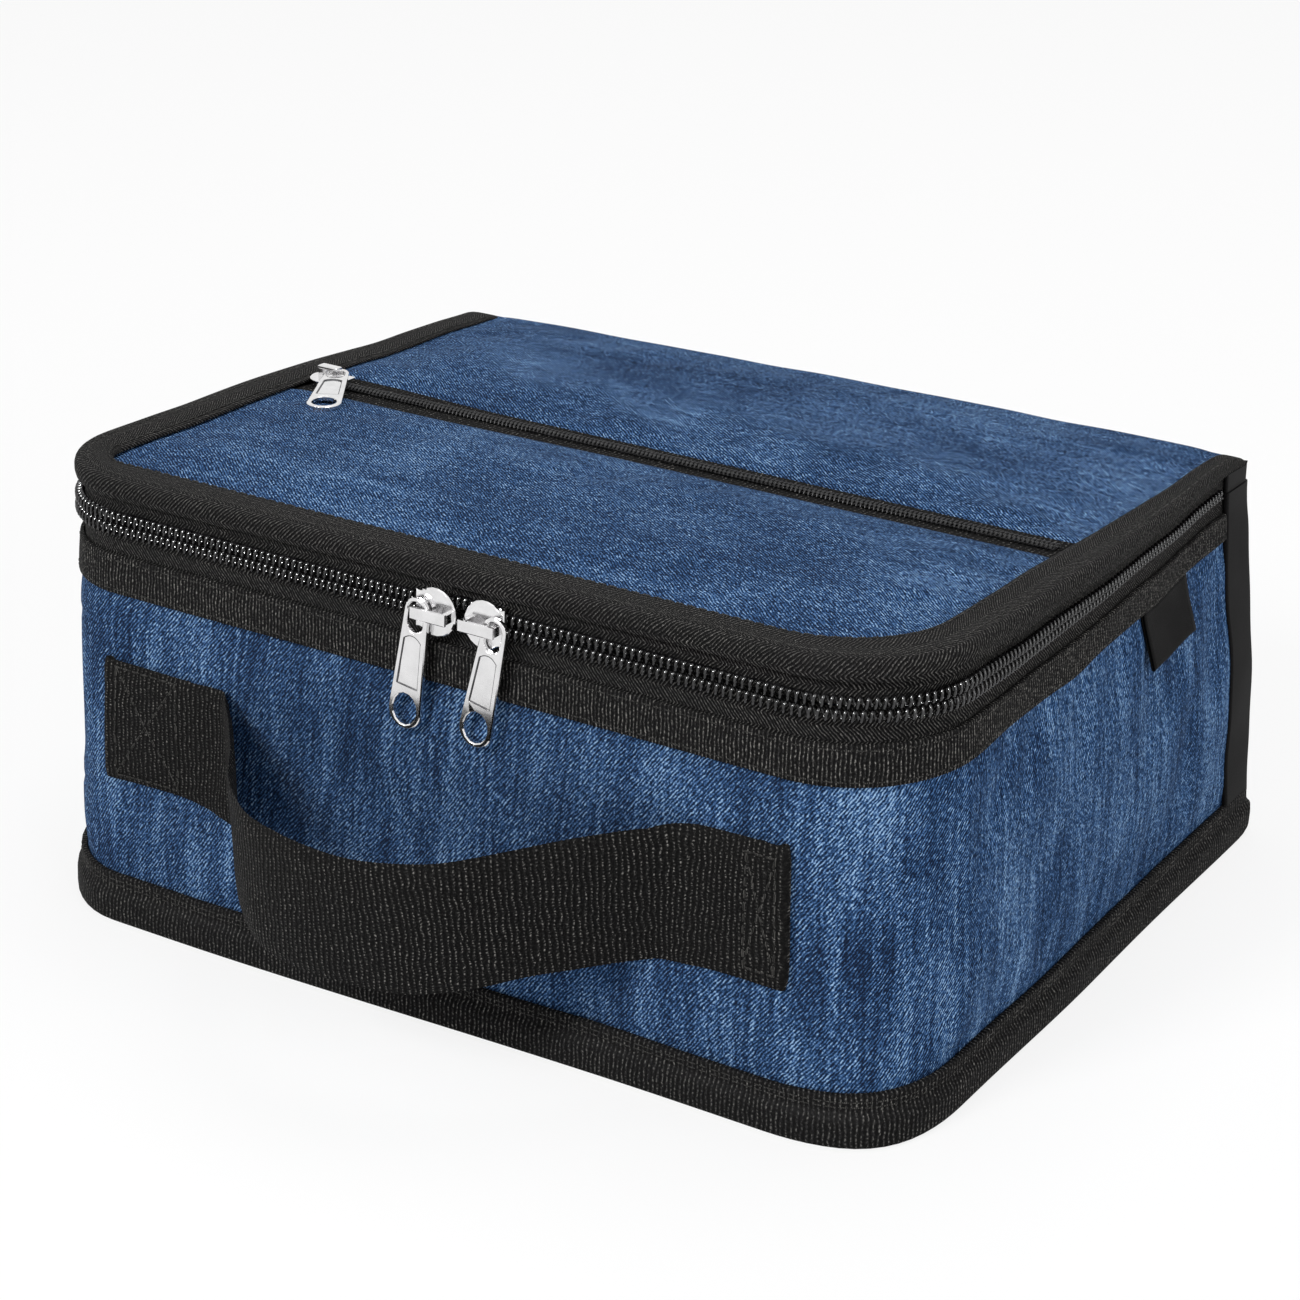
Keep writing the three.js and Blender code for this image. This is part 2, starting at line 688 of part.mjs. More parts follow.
function makePulls() {
  const hang = (name, x, tilt) => {
    const pull = piece(name, makePull().rotateZ(-rad(tilt)), nickel);
    pull.rotation.x = Math.PI / 2 - rad(frontPullLean);
    pull.position.copy(frontPullPivot(x));
    return pull;
  };
  const pocket = piece("pocket_pull", makePull().rotateZ(rad(pocketPullTurn)), nickel);
  pocket.rotation.x = -Math.atan2(lidFall, bagDepth);
  pocket.position.copy(pocketPullPivot());
  return [
    hang("pull_left", leftSliderX - mainSlider.legFromCentre, leftPullTilt),
    hang("pull_right", rightSliderX + mainSlider.legFromCentre, rightPullTilt),
    pocket,
  ];
}

function frontPullPivot(x) {
  return settlePoint(new THREE.Vector3(x, -halfDepth - pullHeight(mainSlider), zipLine));
}

function pocketPullPivot() {
  const height = frontHeight - fabricThickness + pullHeight(pocketSliderSize);
  return settlePoint(new THREE.Vector3(pocketSliderX + pocketSliderSize.legFromCentre, pocketLine, height));
}

// Middle line of the hoop as a smooth curve in plan, y running out from the wall as -y
const hoopStart = new THREE.Vector2(hoopLeft, -hoopStand);
const hoopEnd = new THREE.Vector2(hoopRight, -hoopStand);
const hoopMiddle = hoopPoints.map(([share, out]) => new THREE.Vector2(hoopX(share), -hoopReach * out));
const hoopLine = new THREE.SplineCurve([hoopStart, ...hoopMiddle, hoopEnd]);

function hoopX(share) {
  return hoopLeft + (hoopRight - hoopLeft) * share;
}

// How far along the hoop's line it reaches x
function hoopParameter(x) {
  let low = 0;
  let high = 1;
  while (high - low > samePoint ** 2) {
    const middle = (low + high) / 2;
    if (hoopLine.getPoint(middle).x < x) low = middle;
    else high = middle;
  }
  return low;
}

// A stretch of the strap between two x places: its plan is a thin ribbon along the hoop, raised to the
// strap's width, then turned about the sewing height so that it hangs, more and more over the twisting
// stretch at each end
function strapStretch(fromX, toX) {
  const from = hoopParameter(fromX);
  const to = hoopParameter(toX);
  const steps = Math.ceil(hoopSteps * (to - from));
  const near = [];
  const far = [];
  for (let i = 0; i <= steps; i++) {
    const share = from + ((to - from) * i) / steps;
    const middle = hoopLine.getPoint(share);
    const along = hoopLine.getTangent(share);
    const across = new THREE.Vector2(-along.y, along.x).multiplyScalar(strapThickness / 2);
    near.push(middle.clone().add(across));
    far.push(middle.clone().sub(across));
  }
  const plan = new THREE.Shape([...far, ...near.reverse()]);
  const ribbon = slab(plan, -strapWidth / 2, strapWidth / 2);
  const place = ribbon.attributes.position;
  const point = new THREE.Vector3();
  for (let i = 0; i < place.count; i++) {
    point.fromBufferAttribute(place, i);
    const reach = Math.min(point.x - hoopLeft, hoopRight - point.x) / twistLength;
    point.applyAxisAngle(axisX, rad(strapDroop) * THREE.MathUtils.smoothstep(reach, 0, 1));
    place.setXYZ(i, point.x, point.y - halfDepth, point.z + strapHeight);
  }
  return ribbon;
}

// The strap's three lengths: each sewn end with the twisting stretch beside it, and the grip between them
function makeHandle() {
  const low = strapHeight - strapWidth / 2;
  const high = strapHeight + strapWidth / 2;
  const wall = -halfDepth - clear;
  const sewn = (from, to) => block([from, wall - foldedThickness, low], [to, wall, high]);
  const gripLeft = hoopX(gripFrom);
  const gripRight = hoopX(gripTo);
  const leftEnd = join(
    sewn(hoopLeft - sewnLeftLength, hoopLeft + clear),
    strapStretch(hoopLeft, gripLeft - clear / 2),
  );
  const rightEnd = join(
    sewn(hoopRight - clear, hoopRight + sewnRightLength),
    strapStretch(gripRight + clear / 2, hoopRight),
  );
  return [
    softPiece("handle_end_left", leftEnd, bindingBlack),
    softPiece("handle_grip", strapStretch(gripLeft + clear / 2, gripRight - clear / 2), bindingBlack),
    softPiece("handle_end_right", rightEnd, bindingBlack),
  ];
}

const zip = makeMainZip();
const bag = new THREE.Group();
bag.add(...makeBody(), ...makeBodyTrim(), ...zip.lower, ...makeHandle());
const lid = new THREE.Group();
lid.add(...makeLid(), ...zip.upper);
const lunchBag = new THREE.Group();
lunchBag.add(bag, lid, ...makeSliders(), ...makePulls());

export default lunchBag;
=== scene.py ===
"""Looks of an insulated lunch bag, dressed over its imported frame.

Everything is in metres in the frame of the part: +Z up, the handle and the two zip pulls towards -Y.
The bag is worked out square, as it is cut and sewn, and `place` then lets it lean and sink.
"""

import math

import bpy
import numpy as np
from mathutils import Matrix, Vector


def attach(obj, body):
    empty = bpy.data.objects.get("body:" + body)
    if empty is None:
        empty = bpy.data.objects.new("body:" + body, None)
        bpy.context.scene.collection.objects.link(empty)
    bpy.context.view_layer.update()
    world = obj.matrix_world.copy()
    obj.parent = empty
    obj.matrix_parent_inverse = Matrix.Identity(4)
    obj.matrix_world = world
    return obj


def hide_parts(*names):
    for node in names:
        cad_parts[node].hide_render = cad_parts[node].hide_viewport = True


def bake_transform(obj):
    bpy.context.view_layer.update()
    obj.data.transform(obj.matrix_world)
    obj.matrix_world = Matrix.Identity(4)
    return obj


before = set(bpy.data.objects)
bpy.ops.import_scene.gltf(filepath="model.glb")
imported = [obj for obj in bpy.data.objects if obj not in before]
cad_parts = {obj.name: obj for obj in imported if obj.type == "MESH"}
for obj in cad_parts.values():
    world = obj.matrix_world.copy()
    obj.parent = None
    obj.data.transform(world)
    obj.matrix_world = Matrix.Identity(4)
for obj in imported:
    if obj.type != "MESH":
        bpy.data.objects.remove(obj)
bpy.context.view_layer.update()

bl_info = {
    "name": "Insulated Lunch Bag",
    "version": (1, 0, 0),
    "blender": (4, 5, 0),
    "location": "3D View > Sidebar > Lunch Bag",
    "description": "Builds the cloth, bindings, zips, metal and stage of an insulated lunch bag",
    "category": "Object",
}

MM = 0.001
TWO_PI = 2 * math.pi

# Outside of the bag, before it settles
HALF_WIDTH = 135 * MM
HALF_DEPTH = 106 * MM
FRONT_HEIGHT = 125 * MM
LEFT_CORNER = 27.5 * MM
CORNER = 33 * MM
BACK_CORNER = 0.8 * MM
LEAST_RADIUS = 0.4 * MM
LID_FALL = 11 * MM
FRONT_LEAN = 8 * MM
SIDE_LEAN = 2.7 * MM
BACK_LEAN = 2.4 * MM

# Heights of the seams on the front wall
BAND_BOTTOM = 94 * MM
ZIP_LINE = 114.2 * MM
BASE_BINDING_TOP = 13.5 * MM

# Zips: where the main one ends beside the back wall, and the line and height of the pocket's
ZIP_BACK = HALF_DEPTH - 18 * MM
POCKET_LINE = 2.5 * MM
POCKET_HEIGHT = 124.75 * MM

# Gap between pieces, thickness of the blue cloth, how far in it lies, and height of the under side
CLEAR = 0.3 * MM
CLOTH = 0.7 * MM
CLOTH_IN = 0.1 * MM
UNDER_SIDE = 0.05 * MM

# Waves of the cloth: how often in a metre each way, phase and height
WAVES = (
    ((9.0, 4.0, 13.0), 0.4, 0.34 * MM),
    ((-15.0, 11.0, 19.0), 1.9, 0.22 * MM),
    ((27.0, 21.0, -17.0), 3.1, 0.15 * MM),
    ((-38.0, 33.0, 41.0), 5.0, 0.09 * MM),
)
AXIS_PHASE = 1.7
LID_CALM, EDGE_CALM, FRONT_CALM = 0.55, 0.6, 0.75

# Paths of the sliders: from and to x, their y and z, and how far round them the cloth lies still
STILL_PATHS = ((-0.112, 0.104, -0.103, 0.114, 0.050), (-0.120, 0.118, 0.003, 0.121, 0.036))

# How far the settled cloth drifts
BACK_SAG = 3.8 * MM
LEFT_DIP = 1.2 * MM
TUCK = 4.3 * MM
FLARE = 2.0 * MM
LEFT_TUCK = 1.4 * MM
FOOT_IN, FOOT_FORWARD = 4.0 * MM, 4.2 * MM
FOOT_LEFT_CUT, FOOT_RIGHT_SWELL = 0.2 * MM, 1.5 * MM
FOOT_SIDE = 1.4 * MM
FOOT_ROUND, FOOT_OUT = 9 * MM, 2 * MM


# Numbers into shapes

def smooth(x):
    """3x^2 - 2x^3 of x held between 0 and 1: a soft step."""
    x = np.clip(x, 0.0, 1.0)
    return x * x * (3 - 2 * x)


def ease(x, start, reach):
    """Soft step of x from `start` over `reach`, both in mm; a reach below 0 steps towards lower x."""
    return smooth((x - start * MM) / (reach * MM))


def bell(x, middle, reach, power=2):
    """e to the minus ((x - middle) / reach)^power, with middle and reach in mm."""
    return np.exp(-((x - middle * MM) / (reach * MM)) ** power)


def join(*parts):
    """Arrays or numbers, stretched to one shape and laid side by side in a new last axis."""
    return np.stack(np.broadcast_arrays(*parts), -1)


def grid(a, b):
    """Two ranges laid out as a grid: the values of each at its places."""
    return np.meshgrid(a, b, indexing="ij")


def unit(vectors):
    """Each row made one long."""
    return vectors / np.linalg.norm(vectors, axis=1, keepdims=True)


def walked(points):
    """Distance along a line of points, from 0."""
    return np.concatenate([[0.0], np.cumsum(np.linalg.norm(np.diff(points, axis=0), axis=1))])


def settle(points):
    """The sewn shape to the settled one: above the band the lid falls towards the back, the side walls lean
    in, and the front and back walls lean back, each in proportion to the height."""
    x, y, z = np.moveaxis(points, -1, 0)
    back = (y + HALF_DEPTH) / (2 * HALF_DEPTH)
    fall = LID_FALL / (FRONT_HEIGHT - BAND_BOTTOM)
    height = z - np.maximum(z - BAND_BOTTOM, 0) * fall * back
    share = height / FRONT_HEIGHT
    drift = FRONT_LEAN + (BACK_LEAN - FRONT_LEAN) * back
    return np.stack([x * (1 - SIDE_LEAN / HALF_WIDTH * share), y + drift * share, height], -1)


def soften(points):
    """Adds to every point a sum of slow sine waves in each direction, weaker on the lid, and none at the
    base, along the zip's front and along the sliders' paths."""
    x, y, z = np.moveaxis(points, -1, 0)
    calm = ease(z, 4, 26)
    calm = calm * (1 - LID_CALM * ease(z, 96, 8))
    calm = calm * (1 - EDGE_CALM * ease(z, 96, 12) * ease(y, -80, -12))
    calm = calm * (1 - FRONT_CALM * ease(np.abs(x), 100, 20) * ease(y, -60, -25))
    for low, high, path_y, path_z, reach in STILL_PATHS:
        beside = x - np.clip(x, low, high)
        away = np.sqrt(beside ** 2 + (y - path_y) ** 2 + (z - path_z) ** 2)
        calm = calm * smooth((away - 0.3 * reach) / (0.7 * reach))
    moved = np.zeros_like(points)
    for axis in range(3):
        for wave, phase, height in WAVES:
            along = sum(np.roll(wave, axis)[k] * points[..., k] for k in range(3))
            moved[..., axis] += height * np.sin(TWO_PI * along + phase + AXIS_PHASE * axis)
    return points + moved * calm[..., None]


def sag(points):
    """How far the lid sinks: at its back left corner, from nothing along its front and right edges, by a
    soft step towards the back times the square of the share towards the left, and in the middle of its left
    edge by a bell."""
    x, y, z = np.moveaxis(points, -1, 0)
    left = (HALF_WIDTH - x) / (2 * HALF_WIDTH)
    dip = bell(y, 32, 32) * ease(x, -116, -12)
    return (BACK_SAG * ease(y, 8, 98) * left ** 2 + LEFT_DIP * dip) * smooth((z - BAND_BOTTOM) / (22 * MM))


def shift(points):
    """Sideways and forward drift of the cloth, in soft steps: the back right corner leans in at its top and
    out at its foot, the left edge of the lid is drawn in, the left foot stands in, the front foot stands
    forward and the right foot swells in its middle by a bell. Both front corners of the foot move along
    their diagonals, the right one further, by the square of twice the product of the shares towards the
    side and towards the front."""
    x, y, z = np.moveaxis(points, -1, 0)
    back_right = ease(y, 0, 100) * ease(x, 40, 90)
    lean = FLARE * ease(z, 60, -60) - TUCK * ease(z, 50, 64)
    lid_left = ease(z, 80, 30) * ease(x, -60, -70)
    foot = ease(z, 70, -70)
    foot_left = foot * ease(x, -60, -70) * ease(y, 60, -120)
    foot_front = foot * ease(x, 76, -160) * ease(y, 20, -110)
    dx = lean * back_right + LEFT_TUCK * lid_left + FOOT_IN * foot_left
    low = ease(z, 34, -30)
    front = np.maximum(CORNER - HALF_DEPTH - y, 0) / CORNER
    cut = 4 * (np.maximum(CORNER - HALF_WIDTH - x, 0) / CORNER * front) ** 2 * FOOT_LEFT_CUT * low
    swell = 4 * (np.maximum(x - HALF_WIDTH + CORNER, 0) / CORNER * front) ** 2 * FOOT_RIGHT_SWELL * low
    side = FOOT_SIDE * foot * bell(y, -5, 45) * ease(x, 90, 30)
    return dx + cut + swell + side, cut - swell - FOOT_FORWARD * foot_front


def round_foot(points):
    """Rounding of the back foot's edge, as steps back and up: a square corner goes to a quarter circle,
    where each share is multiplied by the root of one less half the other's square."""
    low = np.clip((FOOT_ROUND - points[..., 2]) / FOOT_ROUND, 0, 1)
    back = np.clip((points[..., 1] - HALF_DEPTH - FOOT_OUT + FOOT_ROUND) / FOOT_ROUND, 0, 1)
    dy = FOOT_ROUND * back * (np.sqrt(1 - low ** 2 / 2) - 1)
    return dy, FOOT_ROUND * low * (1 - np.sqrt(1 - back ** 2 / 2))


def place(points):
    """Sewn shape to what is seen."""
    settled = settle(points)
    back, up = round_foot(points)
    settled[..., 1] += back
    settled[..., 2] += up
    dx, dy = shift(points)
    settled[..., 0] += dx
    settled[..., 1] += dy
    settled[..., 2] -= sag(points)
    return soften(settled)


def placed(x, y, z):
    """What is seen of sewn coordinates."""
    return place(join(x, y, z))


def outline(t, out=0.0, right=None, back=None, left=None):
    """Plan of the walls, `out` outside the cloth: t 0-1 runs along the left side from the back, 1-2 round
    the front left corner, 2-3 along the front, 3-4 round the corner, 4-5 along the right side, 5-6 round
    the square back corner, 6-7 along the back and 7-8 round the last corner. Gives x and y, each with the
    shape of t and out."""
    t, out = np.broadcast_arrays(np.asarray(t, float), np.asarray(out, float))
    r1 = LEFT_CORNER + out if left is None else np.broadcast_to(left, t.shape)
    r2 = CORNER + out if right is None else np.broadcast_to(right, t.shape)
    rb = np.maximum(BACK_CORNER + out, LEAST_RADIUS)
    w, front, rear = HALF_WIDTH + out, -HALF_DEPTH - out, HALF_DEPTH + out
    side_back = rear - rb if back is None else np.broadcast_to(back, t.shape)
    k = np.clip(np.floor(t), 0, 7)
    f = t - k
    turn = math.pi / 2 * f
    runs = [
        (-w, side_back + (front + r1 - side_back) * f),
        (-w + r1 - r1 * np.cos(turn), front + r1 - r1 * np.sin(turn)),
        (-w + r1 + (2 * w - r1 - r2) * f, front),
        (w - r2 + r2 * np.sin(turn), front + r2 - r2 * np.cos(turn)),
        (w, front + r2 + (side_back - front - r2) * f),
        (w - rb + rb * np.cos(turn), rear - rb + rb * np.sin(turn)),
        (w - rb - (2 * w - 2 * rb) * f, rear),
        (-w + rb - rb * np.sin(turn), rear - rb + rb * np.cos(turn)),
    ]
    here = [k == i for i in range(8)]
    return tuple(np.select(here, [run[axis] * np.ones_like(t) for run in runs]) for axis in (0, 1))


# Lengths of the eight stretches of the plan, and where the open run of the first five ends
LENGTHS = (0.187, 0.039, 0.212, 0.052, 0.179, 0.002, 0.27, 0.002)
OPEN_END = 5.0 - 1e-9


def stations(pitch, closed=False):
    """Values of t about `pitch` apart along the plan: the open run of five stretches, or all eight."""
    parts = []
    for k, length in enumerate(LENGTHS if closed else LENGTHS[:5]):
        count = max(2, round(length / pitch))
        parts.append(k + np.arange(count) / count)
    return np.concatenate(parts if closed else [*parts, [OPEN_END]])


def rearward(t, start, reach):
    """Soft step towards the back along both side runs of the plan, from `start` over `reach` of a run."""
    return smooth((np.maximum(1 - t, 0) + np.maximum(t - 4, 0) - start) / reach)


def outward(t):
    """Direction out of the wall at each place of the plan."""
    near, far = np.stack(outline(t, 0.0), -1), np.stack(outline(t, MM), -1)
    return unit(np.concatenate([far - near, np.zeros((len(t), 1))], -1))


def rounded(corners, radius, steps=4):
    """A closed polygon with each corner cut by an arc-like curve: (1-f)^2 a + 2f(1-f) b + f^2 c between the
    points `radius` before and after the corner b."""
    corners = np.asarray(corners, float)
    f = np.linspace(0, 1, steps + 1)[:, None]
    runs = []
    for i, b in enumerate(corners):
        before, after = corners[i - 1] - b, corners[(i + 1) % len(corners)] - b
        a = b + before * min(radius[i] / np.linalg.norm(before), 0.49)
        c = b + after * min(radius[i] / np.linalg.norm(after), 0.49)
        runs.append((1 - f) ** 2 * a + 2 * f * (1 - f) * b + f ** 2 * c if radius[i] > 0 else b[None])
    return np.concatenate(runs)


def section(corners):
    """A closed section from its corners in mm: how far out of the cloth, height and radius."""
    corners = np.array(corners) * MM
    return rounded(corners[:, :2], corners[:, 2])


def sweep(t, profile, back=None, radii=None, lift=None):
    """Carries a closed profile of (out, height) along the plan. `radii` gives the left and right corners'
    radii from out, and `lift` adds to out and height at each station."""
    tt, oo = grid(t, profile[:, 0])
    zz = np.broadcast_to(profile[:, 1], tt.shape)
    if lift is not None:
        d_out, d_height = lift(tt, oo, zz)
        oo, zz = oo + d_out, zz + d_height
    left, right = (None, None) if radii is None else radii(oo)
    x, y = outline(tt, oo, right, back, left)
    return placed(x, y, zz)


def front_edge(x, out, radii=None):
    """y of the front end of the plan at x, `out` outside the cloth, round its two corners."""
    left, right = (LEFT_CORNER + out, CORNER + out) if radii is None else radii
    r = np.where(x < 0, left, right)
    over = np.clip(np.abs(x) - (HALF_WIDTH + out - r), 0, r)
    return -HALF_DEPTH - out + r - np.sqrt(np.maximum(r * r - over * over, 0))


def panel_grid(out, back, pitch):
    """A grid over the plan, from its back edge y = back, or back(x), to its front edge: x and y."""
    w, r1, r2 = HALF_WIDTH + out, LEFT_CORNER + out, CORNER + out
    bend = np.linspace(0, math.pi / 2, 14)[:-1]
    middle = np.linspace(-w + r1, w - r2, max(3, round((2 * w - r1 - r2) / pitch)))
    x = np.concatenate([-w + r1 - r1 * np.cos(bend), middle, (w - r2 + r2 * np.sin(bend))[1:], [w]])
    f = np.linspace(0, 1, max(3, round(0.1 / pitch)))
    near = front_edge(x, out)
    far = back(x) if callable(back) else np.full_like(x, back)
    return np.repeat(x[:, None], len(f), 1), far[:, None] + (near - far)[:, None] * f


# Meshes

def lengths_along(points, axis, closed):
    """Mean distance walked along one way of a grid, from 0."""
    walk = np.concatenate([points, points.take([0], axis)], axis) if closed else points
    steps = np.linalg.norm(np.diff(walk, axis=axis), axis=-1).mean(axis=1 - axis)
    return np.concatenate([[0.0], np.cumsum(steps)])


def grid_parts(points, closed_u=False, closed_v=False, caps=False, turn=False, uv=None):
    """Vertices, faces and a metre-true UV for a grid of points [u, v, xyz]; caps close its two ends."""
    nu, nv = points.shape[:2]
    i, j = grid(np.arange(nu - (not closed_u)), np.arange(nv - (not closed_v)))
    i, j = i.ravel(), j.ravel()
    corners = [(i, j), (i + 1, j), (i + 1, j + 1), (i, j + 1)]
    faces = np.stack([(a % nu) * nv + b % nv for a, b in corners], -1)
    if uv is None:
        lu, lv = lengths_along(points, 0, closed_u), lengths_along(points, 1, closed_v)
        uvs = np.stack([np.stack([lu[a], lv[b]], -1) for a, b in corners], 1)
    else:
        uvs = np.stack([uv[a % nu, b % nv] for a, b in corners], 1)
    verts = points.reshape(-1, 3)
    if closed_v and (caps or closed_u):
        a, b, c, d = (verts[faces[:, k]] for k in range(4))
        turn = (np.cross(a, b) * c).sum() + (np.cross(a, c) * d).sum() < 0
    if turn:
        faces, uvs = faces[:, ::-1], uvs[:, ::-1]
    face_list, uv_list = faces.tolist(), uvs.reshape(-1, 2)
    if caps:
        ring = np.arange(nv)
        ends = [ring, (nu - 1) * nv + ring[::-1]]
        face_list += [(e[::-1] if turn else e).tolist() for e in ends]
        uv_list = np.concatenate([uv_list] + [verts[e][:, :2] for e in ends])
    return verts, face_list, uv_list


def bar_parts(points, uv=None):
    """Parts of a closed section carried along a line, with caps."""
    return grid_parts(points, closed_v=True, caps=True, uv=uv)


def ring_parts(points):
    """Parts of a closed section carried round a closed line."""
    return grid_parts(points, closed_u=True, closed_v=True)


def tube(centre, ahead, radius, sides=6, closed=False):
    """Round tube on a line of points: each ring is radius (cos a, sin a) in the plane across the line's
    way."""
    along = unit(ahead - centre)
    aside = np.cross(along, np.broadcast_to([0.0, 0.0, 1.0], along.shape))
    weak = np.linalg.norm(aside, axis=1, keepdims=True)
    aside = np.where(weak > 1e-3, aside / np.maximum(weak, 1e-9), np.cross(along, [1.0, 0.0, 0.0]))
    other = np.cross(along, aside)
    same = np.sign((aside[1:] * aside[:-1]).sum(axis=1))
    way = np.concatenate([[1.0], np.cumprod(np.where(same < 0, -1.0, 1.0))])[:, None]
    aside, other = aside * way, other * way
    a = (np.arange(sides) / sides * TWO_PI)[:, None]
    rings = centre[:, None] + radius * (aside[:, None] * np.cos(a) + other[:, None] * np.sin(a))
    return ring_parts(rings) if closed else bar_parts(rings)


def make_piece(name, parts, key, sharp=35.0):
    """One mesh object of vertices, faces and UVs in a finish, smooth but for edges over `sharp` degrees."""
    verts, faces, uvs = parts
    mesh = bpy.data.meshes.new(name)
    mesh.from_pydata(verts.tolist(), [], faces)
    layer = mesh.uv_layers.new(name="cloth")
    layer.data.foreach_set("uv", uvs.astype(np.float32).ravel())
    mesh.polygons.foreach_set("use_smooth", np.ones(len(mesh.polygons), bool))
    mesh.set_sharp_from_angle(angle=math.radians(sharp))
    mesh.update()
    piece = bpy.data.objects.new(name, mesh)
    bpy.context.scene.collection.objects.link(piece)
    mesh.materials.append(MATERIALS[key])
    return piece


def dress(piece, body, slot, *nodes):
    """Rides a piece on its body and lets it stand for CAD nodes. Its slot is not used."""
    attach(piece, body)
    if nodes:
        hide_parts(*nodes)


def adjust(item, **values):
    """Sets named values of a Blender item."""
    for key, value in values.items():
        setattr(item, key, value)
    return item


def thicken(piece, thickness=CLOTH, offset=-1.0):
    """A live Solidify modifier: a closed sheet of that thickness."""
    adjust(piece.modifiers.new("thickness", "SOLIDIFY"), thickness=thickness, offset=offset)
    return piece


# Cloth simulation of the padded pieces: slack over the outline, pressure, and how far a point may go
WALL_SWELL = (0.004, 1.5, 2.4 * MM)
BACK_SWELL = (0.004, 1.5, 2.0 * MM)
LID_SWELL = (0.004, 1.2, 1.6 * MM)
PAD_SWELL = (0.005, 1.2, 1.5 * MM)
SUNK_AT_MOST = 0.3 * MM
SIM_FRAMES = 16
WEAVE = {
    "quality": 5, "mass": 0.2, "tension_stiffness": 14.0, "compression_stiffness": 14.0,
    "shear_stiffness": 14.0, "bending_stiffness": 0.8, "use_pressure": True,
}


def read_vectors(items, key):
    """One vector of every item of a mesh, as an array."""
    values = np.zeros(len(items) * 3)
    items.foreach_get(key, values)
    return values.reshape(-1, 3)


def relax(piece, pinned, swell):
    """Lets a sewn panel swell and wrinkle: a short cloth simulation of its mesh, pinned where `pinned`
    says, after which every point goes no further than swell says, or SUNK_AT_MOST against its normal."""
    slack, pressure, cap = swell
    mesh = piece.data
    rest = read_vectors(mesh.vertices, "co")
    seams = piece.vertex_groups.new(name="seams")
    seams.add(np.flatnonzero(pinned).tolist(), 1.0, "REPLACE")
    cloth = piece.modifiers.new("cloth", "CLOTH")
    adjust(cloth.settings, **WEAVE)
    adjust(cloth.settings, shrink_min=-slack, uniform_pressure_force=pressure, vertex_group_mass="seams")
    cloth.settings.effector_weights.gravity = 0.0
    adjust(cloth.point_cache, frame_start=1, frame_end=SIM_FRAMES)
    scene = bpy.context.scene
    for number in range(1, SIM_FRAMES + 1):
        scene.frame_set(number)
    evaluated = piece.evaluated_get(bpy.context.evaluated_depsgraph_get())
    moved = read_vectors(evaluated.data.vertices, "co") - rest
    scene.frame_set(1)
    piece.modifiers.remove(cloth)
    piece.vertex_groups.clear()
    normals = read_vectors(mesh.vertex_normals, "vector")
    moved *= np.minimum(1.0, cap / np.maximum(np.linalg.norm(moved, axis=1, keepdims=True), 1e-9))
    sunk = (moved * normals).sum(axis=1, keepdims=True)
    moved += (np.maximum(sunk, -SUNK_AT_MOST) - sunk) * normals
    mesh.vertices.foreach_set("co", (rest + moved).ravel())
    mesh.update()


# Stitches: sides of their tubes, and each ring's place along, size and rise, as shares
STITCH_SIDES = 6
STITCH_RINGS = np.array([
    (-0.5, 0.35, -0.5), (-0.36, 0.85, 0.0), (0.0, 1.0, 0.2), (0.36, 0.85, 0.0), (0.5, 0.35, -0.5),
])
STITCH_SHARE = 0.78
STITCH_FLAT = 0.8
STITCH_STEP = 2.5 * MM
STITCH_RADIUS = 0.2 * MM
UP = (0, 0, 1)


def stitch_parts(lines, pitch, radius):
    """Rows of stitches on lines of (points, outward direction): at every pitch a short tube, thick in its
    middle, whose ends dip into the cloth. Each is the same five rings turned to the line."""
    spots, ways, ups = [], [], []
    for points, up in lines:
        points = place(points)
        length = walked(points)
        at = np.arange(0.5 * pitch, length[-1], pitch)
        near, far = (
            np.stack([np.interp(np.clip(at + d, 0, length[-1]), length, points[:, k]) for k in range(3)], -1)
            for d in (-0.3 * pitch, 0.3 * pitch)
        )
        spots.append((near + far) / 2)
        ways.append(unit(far - near))
        up = np.broadcast_to(np.asarray(up, float), points.shape)
        ups.append(np.stack([np.interp(at, length, up[:, k]) for k in range(3)], -1))
    spot, way, up = (np.concatenate(a) for a in (spots, ways, ups))
    side = unit(np.cross(way, up))
    up = np.cross(side, way)
    centre, way, side, up = (a[:, None, None] for a in (spot, way, side, up))
    a = (np.arange(STITCH_SIDES) / STITCH_SIDES * TWO_PI)[:, None]
    along, size, rise = STITCH_RINGS.T[..., None, None]
    ring = np.cos(a) * side + STITCH_FLAT * np.sin(a) * up
    verts = centre + along * STITCH_SHARE * pitch * way + size * radius * ring
    verts = verts + rise * radius * up
    rings, n = len(STITCH_RINGS), STITCH_SIDES
    i, j = grid(np.arange(rings - 1), np.arange(n))
    i, j = i.ravel(), j.ravel()
    following = (j + 1) % n
    quads = np.stack([i * n + j, i * n + following, (i + 1) * n + following, (i + 1) * n + j], -1).tolist()
    one = quads + [list(range(n))[::-1], list(range((rings - 1) * n, rings * n))]
    flat = verts.reshape(-1, 3)
    first, second, third = flat[quads[0][:3]]
    if np.dot(np.cross(second - first, third - first), first - spot[0]) < 0:
        one = [face[::-1] for face in one]
    faces = [[k * rings * n + v for v in face] for k in range(len(spot)) for face in one]
    return flat, faces, flat[np.concatenate(faces)][:, :2]


def sew(name, rows, pitch, thread, body, slot, radius=STITCH_RADIUS):
    """All rows of stitches of one place, as one piece."""
    dress(make_piece(name, stitch_parts(rows, pitch, radius), thread), body, slot)


# Materials

def shade(colour, factor):
    """A colour times a factor."""
    return tuple(factor * part for part in colour)


